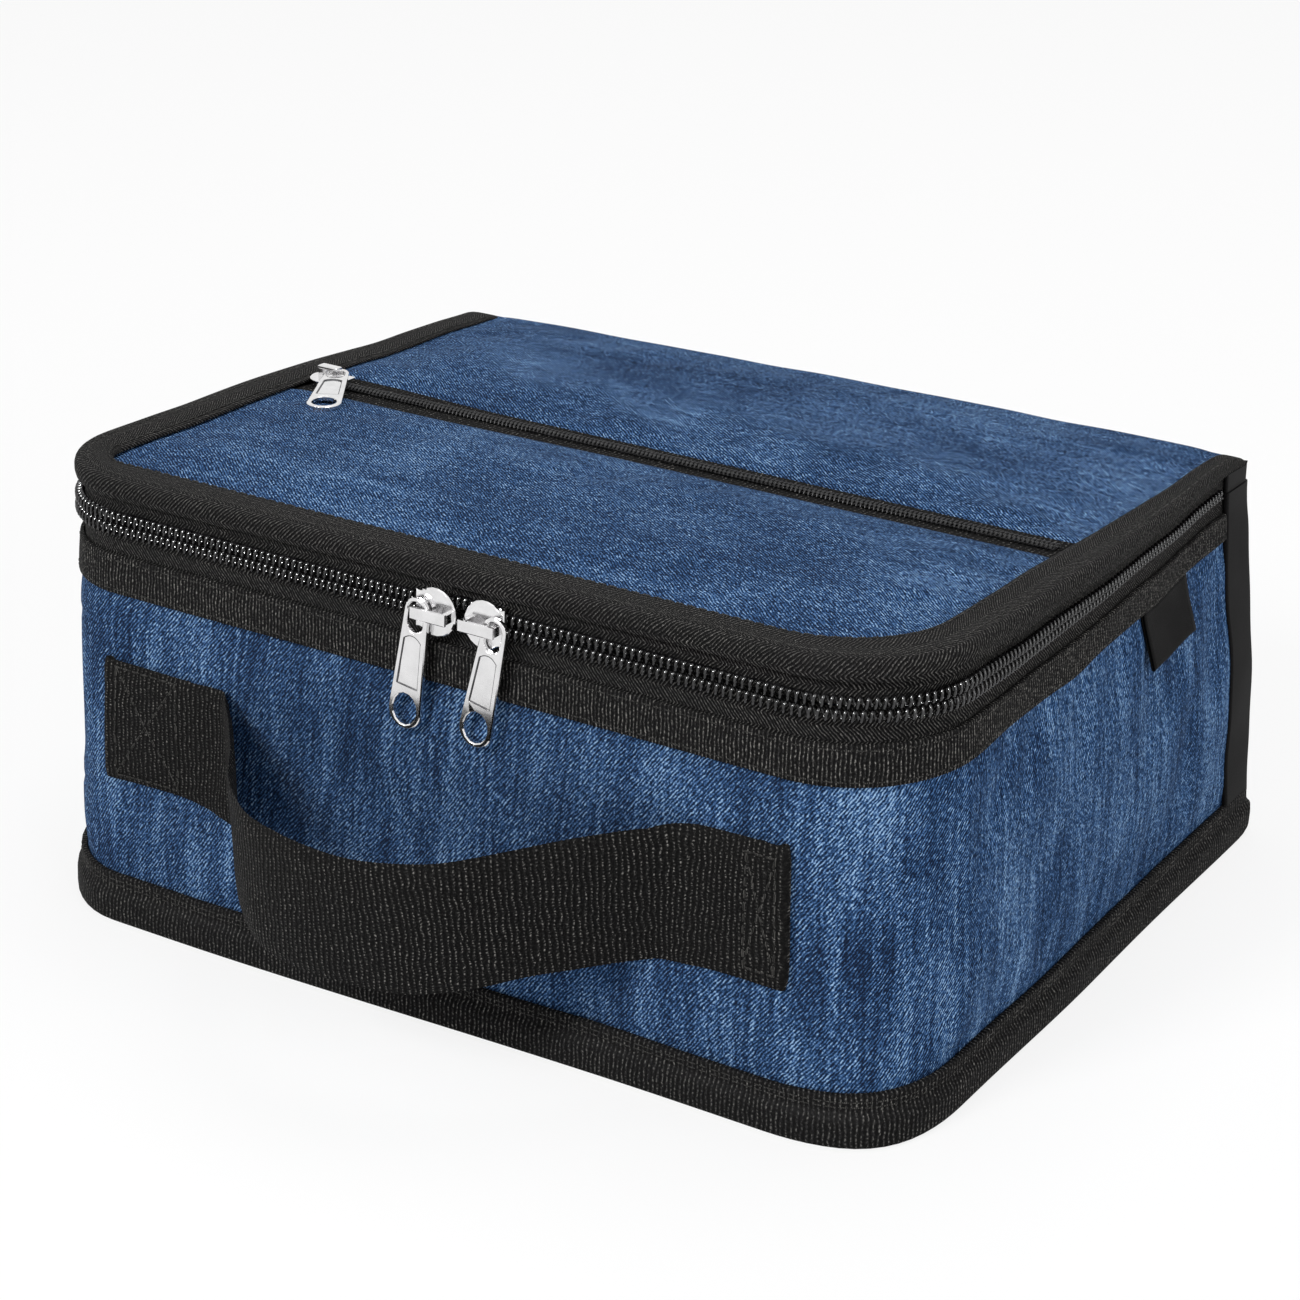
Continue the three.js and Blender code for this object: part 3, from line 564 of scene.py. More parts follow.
def group(name, values, outputs):
    """An empty shader node group of a vector, named values and named outputs: its wiring, what it is given
    and what it gives."""
    tree = bpy.data.node_groups.new(name, "ShaderNodeTree")
    tree.interface.new_socket(name="Vector", in_out="INPUT", socket_type="NodeSocketVector")
    for label, value in values.items():
        socket = tree.interface.new_socket(name=label, in_out="INPUT", socket_type="NodeSocketFloat")
        socket.default_value = value
    for label in outputs:
        tree.interface.new_socket(name=label, in_out="OUTPUT", socket_type="NodeSocketFloat")
    return Wiring(tree), tree.nodes.new("NodeGroupInput").outputs, tree.nodes.new("NodeGroupOutput").inputs


class Wiring:
    """Short ways to add nodes to a tree and join them."""

    def __init__(self, tree):
        self.tree = tree

    def node(self, kind, **values):
        return adjust(self.tree.nodes.new(kind), **values)

    def link(self, source, target):
        self.tree.links.new(source, target)

    def put(self, socket, value):
        if isinstance(value, bpy.types.NodeSocket):
            self.link(value, socket)
        else:
            socket.default_value = value

    def math(self, operation, *values):
        node = self.node("ShaderNodeMath", operation=operation)
        for socket, value in zip(node.inputs, values):
            self.put(socket, value)
        return node.outputs[0]

    def add(self, a, b):
        return self.math("ADD", a, b)

    def less(self, a, b):
        return self.math("SUBTRACT", a, b)

    def times(self, a, b):
        return self.math("MULTIPLY", a, b)

    def most(self, a, b):
        return self.math("MAXIMUM", a, b)

    def scaled(self, value, factor, plus):
        return self.math("MULTIPLY_ADD", value, factor, plus)

    def wave(self, turns):
        """Sine of whole turns, from 0 to 1."""
        return self.scaled(self.math("SINE", self.times(turns, TWO_PI)), 0.5, 0.5)

    def xyz(self, vector):
        node = self.node("ShaderNodeSeparateXYZ")
        self.link(vector, node.inputs[0])
        return node.outputs

    def noise(self, vector, scale, detail=2.0, rough=0.5):
        node = self.node("ShaderNodeTexNoise")
        for label, value in zip(("Vector", "Scale", "Detail", "Roughness"), (vector, scale, detail, rough)):
            self.put(node.inputs[label], value)
        return node.outputs["Fac"]

    def grain(self, vector, scales, detail=2.0, rough=0.5):
        """Noise with its own scale each way."""
        node = self.node("ShaderNodeVectorMath", operation="MULTIPLY")
        self.link(vector, node.inputs[0])
        node.inputs[1].default_value = scales
        return self.noise(node.outputs[0], 1.0, detail, rough)

    def spread(self, value, low, high, kind="LINEAR"):
        """Stretches low to high over 0 to 1."""
        node = self.node("ShaderNodeMapRange", interpolation_type=kind)
        for socket, number in zip(node.inputs, (value, low, high)):
            self.put(socket, number)
        return node.outputs[0]

    def ramp(self, value, stops):
        node = self.node("ShaderNodeValToRGB")
        self.link(value, node.inputs[0])
        ramp = node.color_ramp
        while len(ramp.elements) < len(stops):
            ramp.elements.new(0.5)
        for element, (position, colour) in zip(ramp.elements, stops):
            element.position = position
            element.color = (*colour, 1.0)
        return node.outputs[0]

    def direct(self):
        """1 for rays of the camera and through or off shiny surfaces, 0 for those that only bring light."""
        seen = self.node("ShaderNodeLightPath").outputs
        return self.most(self.most(seen["Is Camera Ray"], seen["Is Glossy Ray"]), seen["Is Transmission Ray"])


class Surface(Wiring):
    """A node material under way, with its Principled shader, its UV and its object coordinates."""

    def __init__(self, name):
        self.material = bpy.data.materials.new(name)
        self.material.use_nodes = True
        super().__init__(self.material.node_tree)
        self.shader = self.tree.nodes["Principled BSDF"]
        self.uv = self.node("ShaderNodeUVMap", uv_map="cloth").outputs[0]
        self.spot = self.node("ShaderNodeTexCoord").outputs["Object"]

    def use(self, key, vector, *values):
        """Places a shared group and sets its values."""
        node = self.node("ShaderNodeGroup", node_tree=GROUPS[key])
        for socket, value in zip(node.inputs, (vector, *values)):
            self.put(socket, value)
        return node.outputs

    def worn(self, size):
        """The mask of handling, with spots of about 1 / size metres."""
        return self.use("wear", self.spot, size)[0]

    def finish(self, colour, rough, specular=None, metallic=None):
        """Joins colour and roughness to the shader, and sets its other values."""
        self.link(colour, self.shader.inputs["Base Color"])
        self.link(rough, self.shader.inputs["Roughness"])
        for label, value in (("Specular IOR Level", specular), ("Metallic", metallic)):
            if value is not None:
                self.shader.inputs[label].default_value = value

    def bump(self, height, depth, strength):
        """A Bump node of that real depth into the shader's normal."""
        node = self.node("ShaderNodeBump")
        for label, value in (("Strength", strength), ("Distance", depth), ("Height", height)):
            self.put(node.inputs[label], value)
        self.link(node.outputs[0], self.shader.inputs["Normal"])


TWILL_ANGLE = 36.7


def twill_group():
    """Twill: steep sine ridges that climb with u, a little wavy, broken by noise that is long along the
    ridge into dashes, and by finer noise into flecks. Thread is 0 in the valleys, where the blue takes a
    painted shade, and 1 on the palest yarns and ridge tops, which the blue paints lighter."""
    w, given, give = group("Twill", {"Ridges": 1100.0}, ("Height", "Thread"))
    turn = w.node("ShaderNodeVectorRotate", rotation_type="Z_AXIS")
    w.link(given[0], turn.inputs["Vector"])
    turn.inputs["Angle"].default_value = math.radians(TWILL_ANGLE)
    turned = turn.outputs[0]
    wander = w.noise(given[0], 320.0, 3.0)
    wave = w.wave(w.scaled(wander, 1.3, w.times(w.xyz(turned)[0], given[1])))
    dash = w.grain(turned, (1400.0, 620.0, 1.0), 2.0, 0.65)
    fleck = w.grain(turned, (1900.0, 1500.0, 1.0), 1.0)
    height = w.scaled(wave, 0.44, w.scaled(dash, 1.3, -0.37))
    w.link(height, give[0])
    w.link(w.less(w.scaled(fleck, 0.9, height), 0.45), give[1])
    return w.tree


def glint(w, height, vector):
    """Mask of painted glints, where threads would catch the light: the tops of the weave, thinned out by fine
    noise.
    """
    spots = w.grain(vector, (2200.0, 760.0, 1.0), 2.0, 0.6)
    return w.spread(w.times(height, spots), 0.36, 0.6, "SMOOTHSTEP")


def rib_group():
    """Ribbed weave: rounded ribs across u, notched by picks across v that shift from rib to rib. Ribs and
    picks are counts in a metre."""
    values = {"Ribs": 1000.0, "Picks": 1000.0, "Pick Depth": 0.4}
    w, given, give = group("Ribbed weave", values, ("Height", "Glint"))
    x, y, _ = w.xyz(given[0])
    wander = w.times(w.noise(given[0], 260.0, 3.0), 1.3)
    ribs = w.times(x, given[1])
    moved = w.times(w.math("FLOOR", ribs), 0.37)
    uneven = w.scaled(w.noise(given[0], 900.0, 2.0), 1.6, wander)
    pick = w.wave(w.add(w.times(y, given[2]), w.add(uneven, moved)))
    notch = w.times(w.less(1.0, pick), given[3])
    height = w.times(w.wave(w.add(ribs, wander)), w.less(1.0, notch))
    w.link(height, give[0])
    w.link(glint(w, height, given[0]), give[1])
    return w.tree


def herringbone_group():
    """Herringbone: sine lines along u plus a to-and-fro of v, which turns them at every band."""
    w, given, give = group("Herringbone", {"Lines": 1000.0, "Band": 2.6 * MM}, ("Height", "Glint"))
    x, y, _ = w.xyz(given[0])
    zigzag = w.math("PINGPONG", w.add(y, 1.0), given[2])
    wander = w.times(w.noise(given[0], 220.0, 3.0), 1.8)
    ridge = w.wave(w.add(w.times(w.add(x, zigzag), given[1]), wander))
    w.link(ridge, give[0])
    w.link(glint(w, ridge, given[0]), give[1])
    return w.tree


def wear_group():
    """A soft mask of handling: slow noise through a ramp, for roughness and dust, and for how strong the
    painted glints of the black cloths and the painted shade of the pulls' groove lines are.
    """
    w, given, give = group("Handling", {"Size": 40.0}, ("Mask",))
    w.link(w.spread(w.noise(given[0], given[1], 5.0), 0.35, 0.7), give[0])
    return w.tree


GROUPS = {}


def build_groups():
    """Makes each shared node group once."""
    GROUPS.update(twill=twill_group(), rib=rib_group(), herringbone=herringbone_group(), wear=wear_group())


# Places of the blue ramp's five colours: the painted shade of the twill's valleys, then four yarns
BLUE_STOPS = (0.2, 0.38, 0.55, 0.72, 0.94)


def heathered_blue(sizes, name, streaky, mottled):
    """Blue twill of mixed yarns: painted shade in the twill's valleys and painted light on its ridges, mixed
    with the twill's threads from navy to pale blue, shifted by dark and light streaks along the warp (v), by
    slow clouds and by small spots. streaky and mottled say how strong streaks and spots are."""
    s = Surface(name)
    height, thread = s.use("twill", s.uv, sizes.twill_ridges)
    tone = s.scaled(s.grain(s.uv, (620.0, 34.0, 1.0), 3.0, 0.6), 0.75 * streaky, thread)
    tone = s.scaled(s.grain(s.uv, (120.0, 16.0, 1.0), 3.0, 0.55), 0.5 * streaky, tone)
    tone = s.scaled(s.noise(s.spot, 30.0, 3.0, 0.55), 0.4, tone)
    tone = s.scaled(s.grain(s.uv, (420.0, 240.0, 1.0), 3.0, 0.7), mottled, tone)
    tone = s.less(tone, 0.22 + 0.625 * streaky + 0.5 * mottled)
    # The lowest colour, blue_shadow, is painted shade in the twill's valleys; the other four are yarns
    yarns = (sizes.blue_shadow, sizes.blue_dark, sizes.blue_middle, sizes.blue_light, sizes.blue_fleck)
    s.finish(s.ramp(tone, list(zip(BLUE_STOPS, yarns))), s.scaled(thread, -0.1, 0.85), specular=0.05)
    s.bump(height, 0.16 * MM, 0.8)
    return s.material


def black_cloth(name, weave, values, colour, pale, rough, depth, share):
    """Black woven tape or webbing: a shared weave gives its height and where to paint glints. Its colour is
    painted shade in the weave's low parts and painted light on its tops, with painted glints in the glint
    colour, stronger where handled. Handling also dulls it in places, and coarse noise leaves some threads
    dark and lifts others into spots of painted glint."""
    s = Surface(name)
    height, glints = s.use(weave, s.uv, *values)
    worn = s.worn(38.0)
    coarse = s.grain(s.uv, (2000.0, 1500.0, 1.0), 3.0, 0.7)
    grain = s.most(s.scaled(coarse, 4.6, -1.4), 0.08)
    # Colour by the weave's height: painted shade in its low parts, painted light on its tops, and some
    # threads darkened by coarse noise
    stops = [(0.08, shade(colour, 0.12)), (0.5, colour), (1.0, shade(colour, 3.0))]
    tint = s.ramp(s.times(height, grain), stops)
    # Painted glints: the glint colour on the weave's tops, stronger where the handling mask is high
    glint_paint = s.times(glints, s.scaled(worn, 0.5 * share, 0.7 * share))
    # Spots of painted glint where the coarse noise is highest
    speck_glints = s.most(s.less(grain, 0.9), 0.0)
    glint_paint = s.scaled(speck_glints, 0.07 * share, s.times(glint_paint, grain))
    mix = s.node("ShaderNodeMix", data_type="RGBA")
    s.link(glint_paint, mix.inputs[0])
    s.link(tint, mix.inputs[6])
    mix.inputs[7].default_value = (*pale, 1.0)
    s.finish(mix.outputs[2], s.scaled(worn, 0.12, rough), specular=0.06)
    s.bump(s.scaled(s.grain(s.uv, (4200.0, 2400.0, 1.0)), 0.3, height), depth, 0.9)
    return s.material


def smooth_black(sizes):
    """Smooth coated edge binding: near black, a low even sheen and faint grain."""
    s = Surface("smooth_binding")
    grain = s.grain(s.uv, (1800.0, 1800.0, 1.0), 3.0, 0.6)
    tint = s.ramp(grain, [(0.3, shade(sizes.black, 0.5)), (0.7, shade(sizes.black, 1.3))])
    s.finish(tint, s.scaled(s.worn(30.0), 0.14, 0.55), specular=0.06)
    s.bump(grain, 0.06 * MM, 0.6)
    return s.material


def nylon(name, rough, shine):
    """Black nylon coil: glossy, a little uneven in roughness."""
    s = Surface(name)
    worn = s.worn(220.0)
    tint = s.ramp(worn, [(0.2, (0.003, 0.003, 0.0035)), (0.9, (0.014, 0.014, 0.015))])
    s.finish(tint, s.scaled(worn, 0.12, rough), specular=shine)
    return s.material


def polished_nickel(sizes):
    """Polished plate on cast zinc: bright metal, with slow ripples and hair scratches in its roughness."""
    s = Surface("polished_nickel")
    hair = s.grain(s.spot, (900.0, 900.0, 14000.0))
    tint = s.ramp(s.worn(260.0), [(0.0, sizes.metal), (1.0, shade(sizes.metal, 0.9))])
    s.finish(tint, s.scaled(hair, 0.12, 0.08), metallic=1.0)
    s.bump(s.noise(s.spot, 420.0, 2.0), 0.03 * MM, 0.5)
    return s.material


def painted_groove_shade():
    """Painted shade in the groove at the corner of stamped metal: a dull, unevenly dark line."""
    s = Surface("metal_groove")
    # Uneven mask: varies how dark and rough the painted shade is
    worn = s.worn(500.0)
    tint = s.ramp(worn, [(0.1, (0.01, 0.01, 0.011)), (0.9, (0.05, 0.05, 0.055))])
    s.finish(tint, s.scaled(worn, 0.2, 0.4))
    return s.material


def crinkled_foil():
    """Foil-faced film over foam: metal sheen, with creases from two ridged noises."""
    s = Surface("foil_lining")
    fine = s.noise(s.spot, 260.0, 4.0, 0.6)
    creases = s.math("ABSOLUTE", s.less(s.noise(s.spot, 95.0, 3.0), 0.5))
    tint = s.ramp(s.worn(60.0), [(0.0, (0.42, 0.44, 0.46)), (1.0, (0.55, 0.57, 0.59))])
    s.finish(tint, s.scaled(fine, 0.25, 0.3), metallic=0.85)
    s.bump(s.scaled(creases, 2.0, fine), 0.5 * MM, 0.8)
    return s.material


def board_grey():
    """Grey stiffening board: pressed fibres."""
    s = Surface("board_grey")
    fibres = s.grain(s.spot, (900.0, 300.0, 900.0), 4.0)
    tint = s.ramp(fibres, [(0.3, (0.12, 0.12, 0.125)), (0.7, (0.25, 0.25, 0.26))])
    s.finish(tint, s.scaled(fibres, 0.2, 0.7))
    s.bump(fibres, 0.1 * MM, 0.5)
    return s.material


MATERIALS = {}

# Woven cloths: material, weave and its values, colour, colour of the painted glints, roughness, depth in mm
# and share of the painted glints
WOVEN = {
    "binding": ("binding_tape", "herringbone", (860.0, 4.8 * MM), "black", "glint", 0.75, 0.3, 0.45),
    "tape": ("zip_tape", "herringbone", (960.0, 3.1 * MM), "black", "glint", 0.75, 0.22, 0.45),
    "pocket_tape": ("pocket_tape", "rib", (620.0, 620.0, 0.9), "black", "glint", 0.8, 0.5, 1.0),
    "band": ("ribbed_band", "rib", (910.0, 1000.0, 0.22), "black", "glint", 0.75, 0.3, 1.0),
    "edging": ("base_edging", "rib", (760.0, 900.0, 0.3), "black", "glint", 0.7, 0.2, 0.6),
    "webbing": ("webbing", "rib", (640.0, 1050.0, 0.45), "webbing", "glint", 0.7, 0.45, 0.8),
    "tag": ("tag_cloth", "rib", (2400.0, 2400.0, 1.0), "black", "black", 0.6, 0.06, 1.0),
    "pocket": ("pocket_cloth", "rib", (1500.0, 1500.0, 1.0), "black", "black", 0.8, 0.1, 1.0),
    "thread": ("thread", "rib", (2600.0, 600.0, 0.3), "thread", "thread", 0.5, 0.03, 1.0),
    "blue_thread": ("blue_thread", "rib", (2600.0, 600.0, 0.3), "blue_middle", "blue_light", 0.6, 0.03, 1.0),
}


def build_materials(sizes):
    """Every finish on the bag, once each."""
    for key, (name, weave, values, colour, pale, rough, depth, share) in WOVEN.items():
        colour, pale = getattr(sizes, colour), getattr(sizes, pale)
        MATERIALS[key] = black_cloth(name, weave, values, colour, pale, rough, depth * MM, share)
    MATERIALS.update(
        blue=heathered_blue(sizes, "heathered_blue", 1.0, 0.0),
        lid_blue=heathered_blue(sizes, "heathered_lid_blue", 0.5, 0.55),
        smooth=smooth_black(sizes),
        nylon=nylon("coil_nylon", 0.12, 0.6),
        dull_nylon=nylon("pocket_coil_nylon", 0.42, 0.2),
        nickel=polished_nickel(sizes),
        groove=painted_groove_shade(),
        foil=crinkled_foil(),
        board=board_grey(),
    )


# Sizes and colours that a user would change

def a_length(name, description, default, least=0.0):
    """A length in the panel."""
    return bpy.props.FloatProperty(
        name=name, description=description, default=default, min=least, unit="LENGTH",
    )


def a_colour(name, description, default):
    """A colour in the panel."""
    return bpy.props.FloatVectorProperty(name=name, description=description, default=default, subtype="COLOR")


class LunchBagSizes(bpy.types.PropertyGroup):
    """Sizes and colours of the cloth, tapes, metal and stage."""

    wall_belly: a_length("Wall Belly", "How far the wall cloth swells between its seams", 1.0 * MM)
    lid_crown: a_length("Lid Crown", "How far each lid panel swells in its middle", 1.3 * MM)
    coil_pitch: a_length("Coil Pitch", "Between the main zip's loops", 2.1 * MM, 0.5 * MM)
    pocket_pitch: a_length("Pocket Coil Pitch", "Between the pocket zip's loops", 1.35 * MM, 0.5 * MM)
    stitch: a_length("Stitch", "Length from one stitch to the next", 3.2 * MM, 1 * MM)
    twill_ridges: bpy.props.FloatProperty(
        name="Twill Ridges", description="Ridges of the blue twill in a metre", default=1240.0, min=100.0,
    )
    # Painted shade in the twill's valleys: the lowest colour of the blue
    blue_shadow: a_colour("Twill Valley Shade", "Between the yarns", (0.004, 0.009, 0.025))
    blue_dark: a_colour("Dark Yarn", "Darkest blue yarn", (0.007, 0.022, 0.058))
    blue_middle: a_colour("Blue Yarn", "Main blue yarn", (0.021, 0.058, 0.145))
    blue_light: a_colour("Light Yarn", "Pale blue yarn", (0.06, 0.134, 0.285))
    blue_fleck: a_colour("Flecks", "Palest flecks", (0.26, 0.4, 0.58))
    black: a_colour("Black", "Bindings and tapes", (0.006, 0.0058, 0.006))
    webbing: a_colour("Webbing", "Handle webbing", (0.0046, 0.0045, 0.0045))
    # Colour painted on the tops of the black weaves as glints: a painted highlight
    glint: a_colour("Glints", "Thread tops of the black cloths", (0.21, 0.203, 0.19))
    thread: a_colour("Thread", "Sewing thread", (0.034, 0.033, 0.031))
    metal: a_colour("Metal", "Nickel plate of the sliders and pulls", (0.77, 0.765, 0.77))


class WallsOperator(bpy.types.Operator):
    """Build the blue cloth of the walls, the back and the base"""

    bl_idname = "lunch_bag.walls"
    bl_label = "Walls"

    def execute(self, context):
        belly = context.scene.lunch_bag.wall_belly
        z = np.concatenate([[1.4, 7, 13], np.linspace(15, 92, 34), [93.5, 97, 100.5]]) * MM
        tt, zz = grid(stations(3.2 * MM), z)
        free = ease(zz, 13, 9) * ease(zz, 94, -9)
        flat = 1 - 0.5 * ((tt > 1) & (tt < 2) | (tt > 3) & (tt < 4))
        x, y = outline(tt, belly * free * flat - 0.05 * MM, None, HALF_DEPTH - 2 * MM)
        walls = make_piece("wall_cloth", grid_parts(placed(x, y, zz)), "blue")
        front = (tt > 1.5) & (tt < 3.5) & (np.abs(zz - STRAP_HEIGHT) < STRAP_HALF)
        left_end = np.abs(x - HOOP_LEFT + SEWN_LEFT / 2) < SEWN_LEFT / 2
        right_end = np.abs(x - HOOP_RIGHT - SEWN_RIGHT / 2) < SEWN_RIGHT / 2
        sewn = (zz < 14 * MM) | (zz > 92 * MM) | (tt < 0.08) | (tt > 4.92)
        relax(walls, sewn | front & (left_end | right_end), WALL_SWELL)
        dress(thicken(walls), "bag", "blue_fabric", "side_wall_fabric")

        x, z = grid(np.linspace(-134.6, 134.6, 80) * MM, np.linspace(1.4, 103.5, 36) * MM)
        free = ease(z, 8, 16) * ease(np.abs(x), 126, -14)
        y = HALF_DEPTH - CLOTH_IN + 0.8 * belly * free * ease(z, 104, -14)
        back = make_piece("back_cloth", grid_parts(placed(x, y, z), turn=True), "blue")
        relax(back, (np.abs(x) > 124 * MM) | (z < 10 * MM) | (z > 98 * MM), BACK_SWELL)
        dress(thicken(back), "bag", "blue_fabric", "back_panel_fabric")

        x, y = panel_grid(-CLOTH_IN, HALF_DEPTH - CLOTH_IN, 5 * MM)
        base = make_piece("base_cloth", grid_parts(placed(x, y, UNDER_SIDE)), "blue")
        dress(thicken(base, offset=1.0), "bag", "blue_fabric", "base_fabric")
        return {"FINISHED"}


# Sections of the trim in mm: out of the cloth, height and radius
BASE_SECTION = (
    (0.2, 0, 0.2), (2.9, 0, 1.0), (3.3, 1.2, 1.2), (3.3, 7.6, 1.6), (1.9, 9.4, 0.7), (1.9, 13.5, 0.5),
    (0.2, 13.5, 0.4), (0.15, 7, 0.0),
)
BAND_SECTION = ((0.25, 94, 0.3), (1.4, 94, 0.5), (1.55, 99.5, 3.0), (1.4, 105, 0.5), (0.25, 105, 0.3))

# Rows of stitches on the band and on the base binding in mm: out of the cloth and height
TRIM_ROWS = ((1.45, 95.4), (1.45, 103.6), (1.9, 11.9), (1.9, 10.6))

# Where the band and its stitches end beside the back wall
BAND_BACK, TRIM_ROWS_BACK = HALF_DEPTH - 15.3 * MM, HALF_DEPTH - 16 * MM

# Bindings of the back corners: how wide and deep they reach, how thick, and where the lid's ends
CORNER_WIDE, CORNER_DEEP = 15 * MM, 10 * MM
CORNER_THICK, LID_CORNER_THICK = 1.5 * MM, 1.1 * MM
CORNER_LOW, CORNER_HIGH = BASE_BINDING_TOP - 1 * MM, ZIP_LINE - 0.5 * MM
LID_CORNER_LOW, LID_CORNER_HIGH = ZIP_LINE - 0.2 * MM, 121.6 * MM
CORNER_RADII = np.array([0.3, 0.8, 3.0, 0.8, 0.3, 0.0]) * MM


class TrimOperator(bpy.types.Operator):
    """Build the base binding, the ribbed band and the bindings of the back corners"""

    bl_idname = "lunch_bag.trim"
    bl_label = "Bindings"

    def execute(self, context):
        ring = ring_parts(sweep(stations(3.5 * MM, closed=True), section(BASE_SECTION)))
        dress(make_piece("base_binding_roll", ring, "edging"), "bag", "smooth_binding", "base_binding")
        points = sweep(stations(2.5 * MM), section(BAND_SECTION), back=BAND_BACK)
        dress(make_piece("ribbed_band", bar_parts(points), "band"), "bag", "black_binding", "lower_band")

        for side, word in ((-1, "left"), (1, "right")):
            low = corner_binding(side, CORNER_LOW, CORNER_HIGH, CORNER_THICK)
            piece = make_piece("back_binding_roll_" + word, low, "smooth")
            dress(piece, "bag", "smooth_binding", "back_binding_" + word)
            high = corner_binding(side, LID_CORNER_LOW, LID_CORNER_HIGH, LID_CORNER_THICK)
            dress(make_piece("lid_corner_roll_" + word, high, "smooth"), "lid", "smooth_binding")

        t = stations(STITCH_STEP)
        rows = []
        for out, height in TRIM_ROWS:
            x, y = outline(t, out * MM, None, TRIM_ROWS_BACK)
            rows.append((join(x, y, height * MM), outward(t)))
        sew("trim_stitches", rows, context.scene.lunch_bag.stitch, "thread", "bag", "black_binding")
        return {"FINISHED"}


def corner_binding(side, low, high, thick):
    """Angle of binding round a back corner: a section with a round outer edge, carried straight up."""
    x, y = HALF_WIDTH + CLEAR, HALF_DEPTH + CLEAR
    corners = [
        (x, HALF_DEPTH - CORNER_WIDE), (x + thick, HALF_DEPTH - CORNER_WIDE), (x + thick, y + thick),
        (HALF_WIDTH - CORNER_DEEP, y + thick), (HALF_WIDTH - CORNER_DEEP, y), (x, y),
    ]
    plan = rounded(corners, CORNER_RADII, 6)
    heights = np.linspace(low, high, max(4, round((high - low) / (3 * MM))))[:, None]
    return bar_parts(placed(side * plan[:, 0], plan[:, 1], heights))


# Binding of the lid: its section and rows of stitches in mm, how far in it reaches, and its inner radii
LID_SECTION = (
    (0.3, 121, 0.3), (2.2, 120.9, 0.8), (2.9, 123.2, 1.2), (2.7, 125.6, 1.2), (1.4, 126.9, 1.6),
    (-2.5, 127.0, 2.0), (-8.6, 126.9, 1.4), (-11, 126.2, 0.5), (-11.1, 125.2, 0.2), (0.3, 125.0, 0.2),
)
BINDING_IN = 11 * MM
INNER_RADII = (9 * MM, 31 * MM)
BINDING_BACK, BINDING_ROWS_BACK = HALF_DEPTH - 0.6 * MM, HALF_DEPTH - 10 * MM
BINDING_ROWS = ((-9.3, 126.95), (-1.2, 127.0))

# Where the lid's cloth is sewn in: how far from the sides, and along the folds beside the pocket zip
SIDE_SEAM = 122 * MM
FOLD_SEAM = 4.2 * MM
UNDER_BINDING = 0.5 * MM
PANEL_OUT, PANEL_HEIGHT = -2 * MM, 124.95 * MM


def binding_radii(out):
    """Left and right corner radii of the lid binding: its own outside, and INNER_RADII at its inner edge."""
    left, right = (
        np.where(out > 0, radius + out, radius + out * (radius - inner) / BINDING_IN)
        for radius, inner in zip((LEFT_CORNER, CORNER), INNER_RADII)
    )
    return left, right


def binding_narrows(t):
    """Share of its width that the lid binding loses towards the back, on the left and on the right."""
    return np.where(t > 2.5, 0.52, 0.2)


def flatter(tt, oo, zz):
    """The lid binding towards the back: narrower, lower, and pressed down by a square over its last 9 mm."""
    behind = rearward(tt, 0.2, 0.8)
    end = np.maximum(1 - np.minimum(tt, 5 - tt) * LENGTHS[0] / (9 * MM), 0)
    sunk = (-0.5 * behind - 3.4 * end ** 2) * MM * ease(zz, 123, 3)
    return behind * np.where(oo > 0, -0.5 * oo, -binding_narrows(tt) * oo), sunk


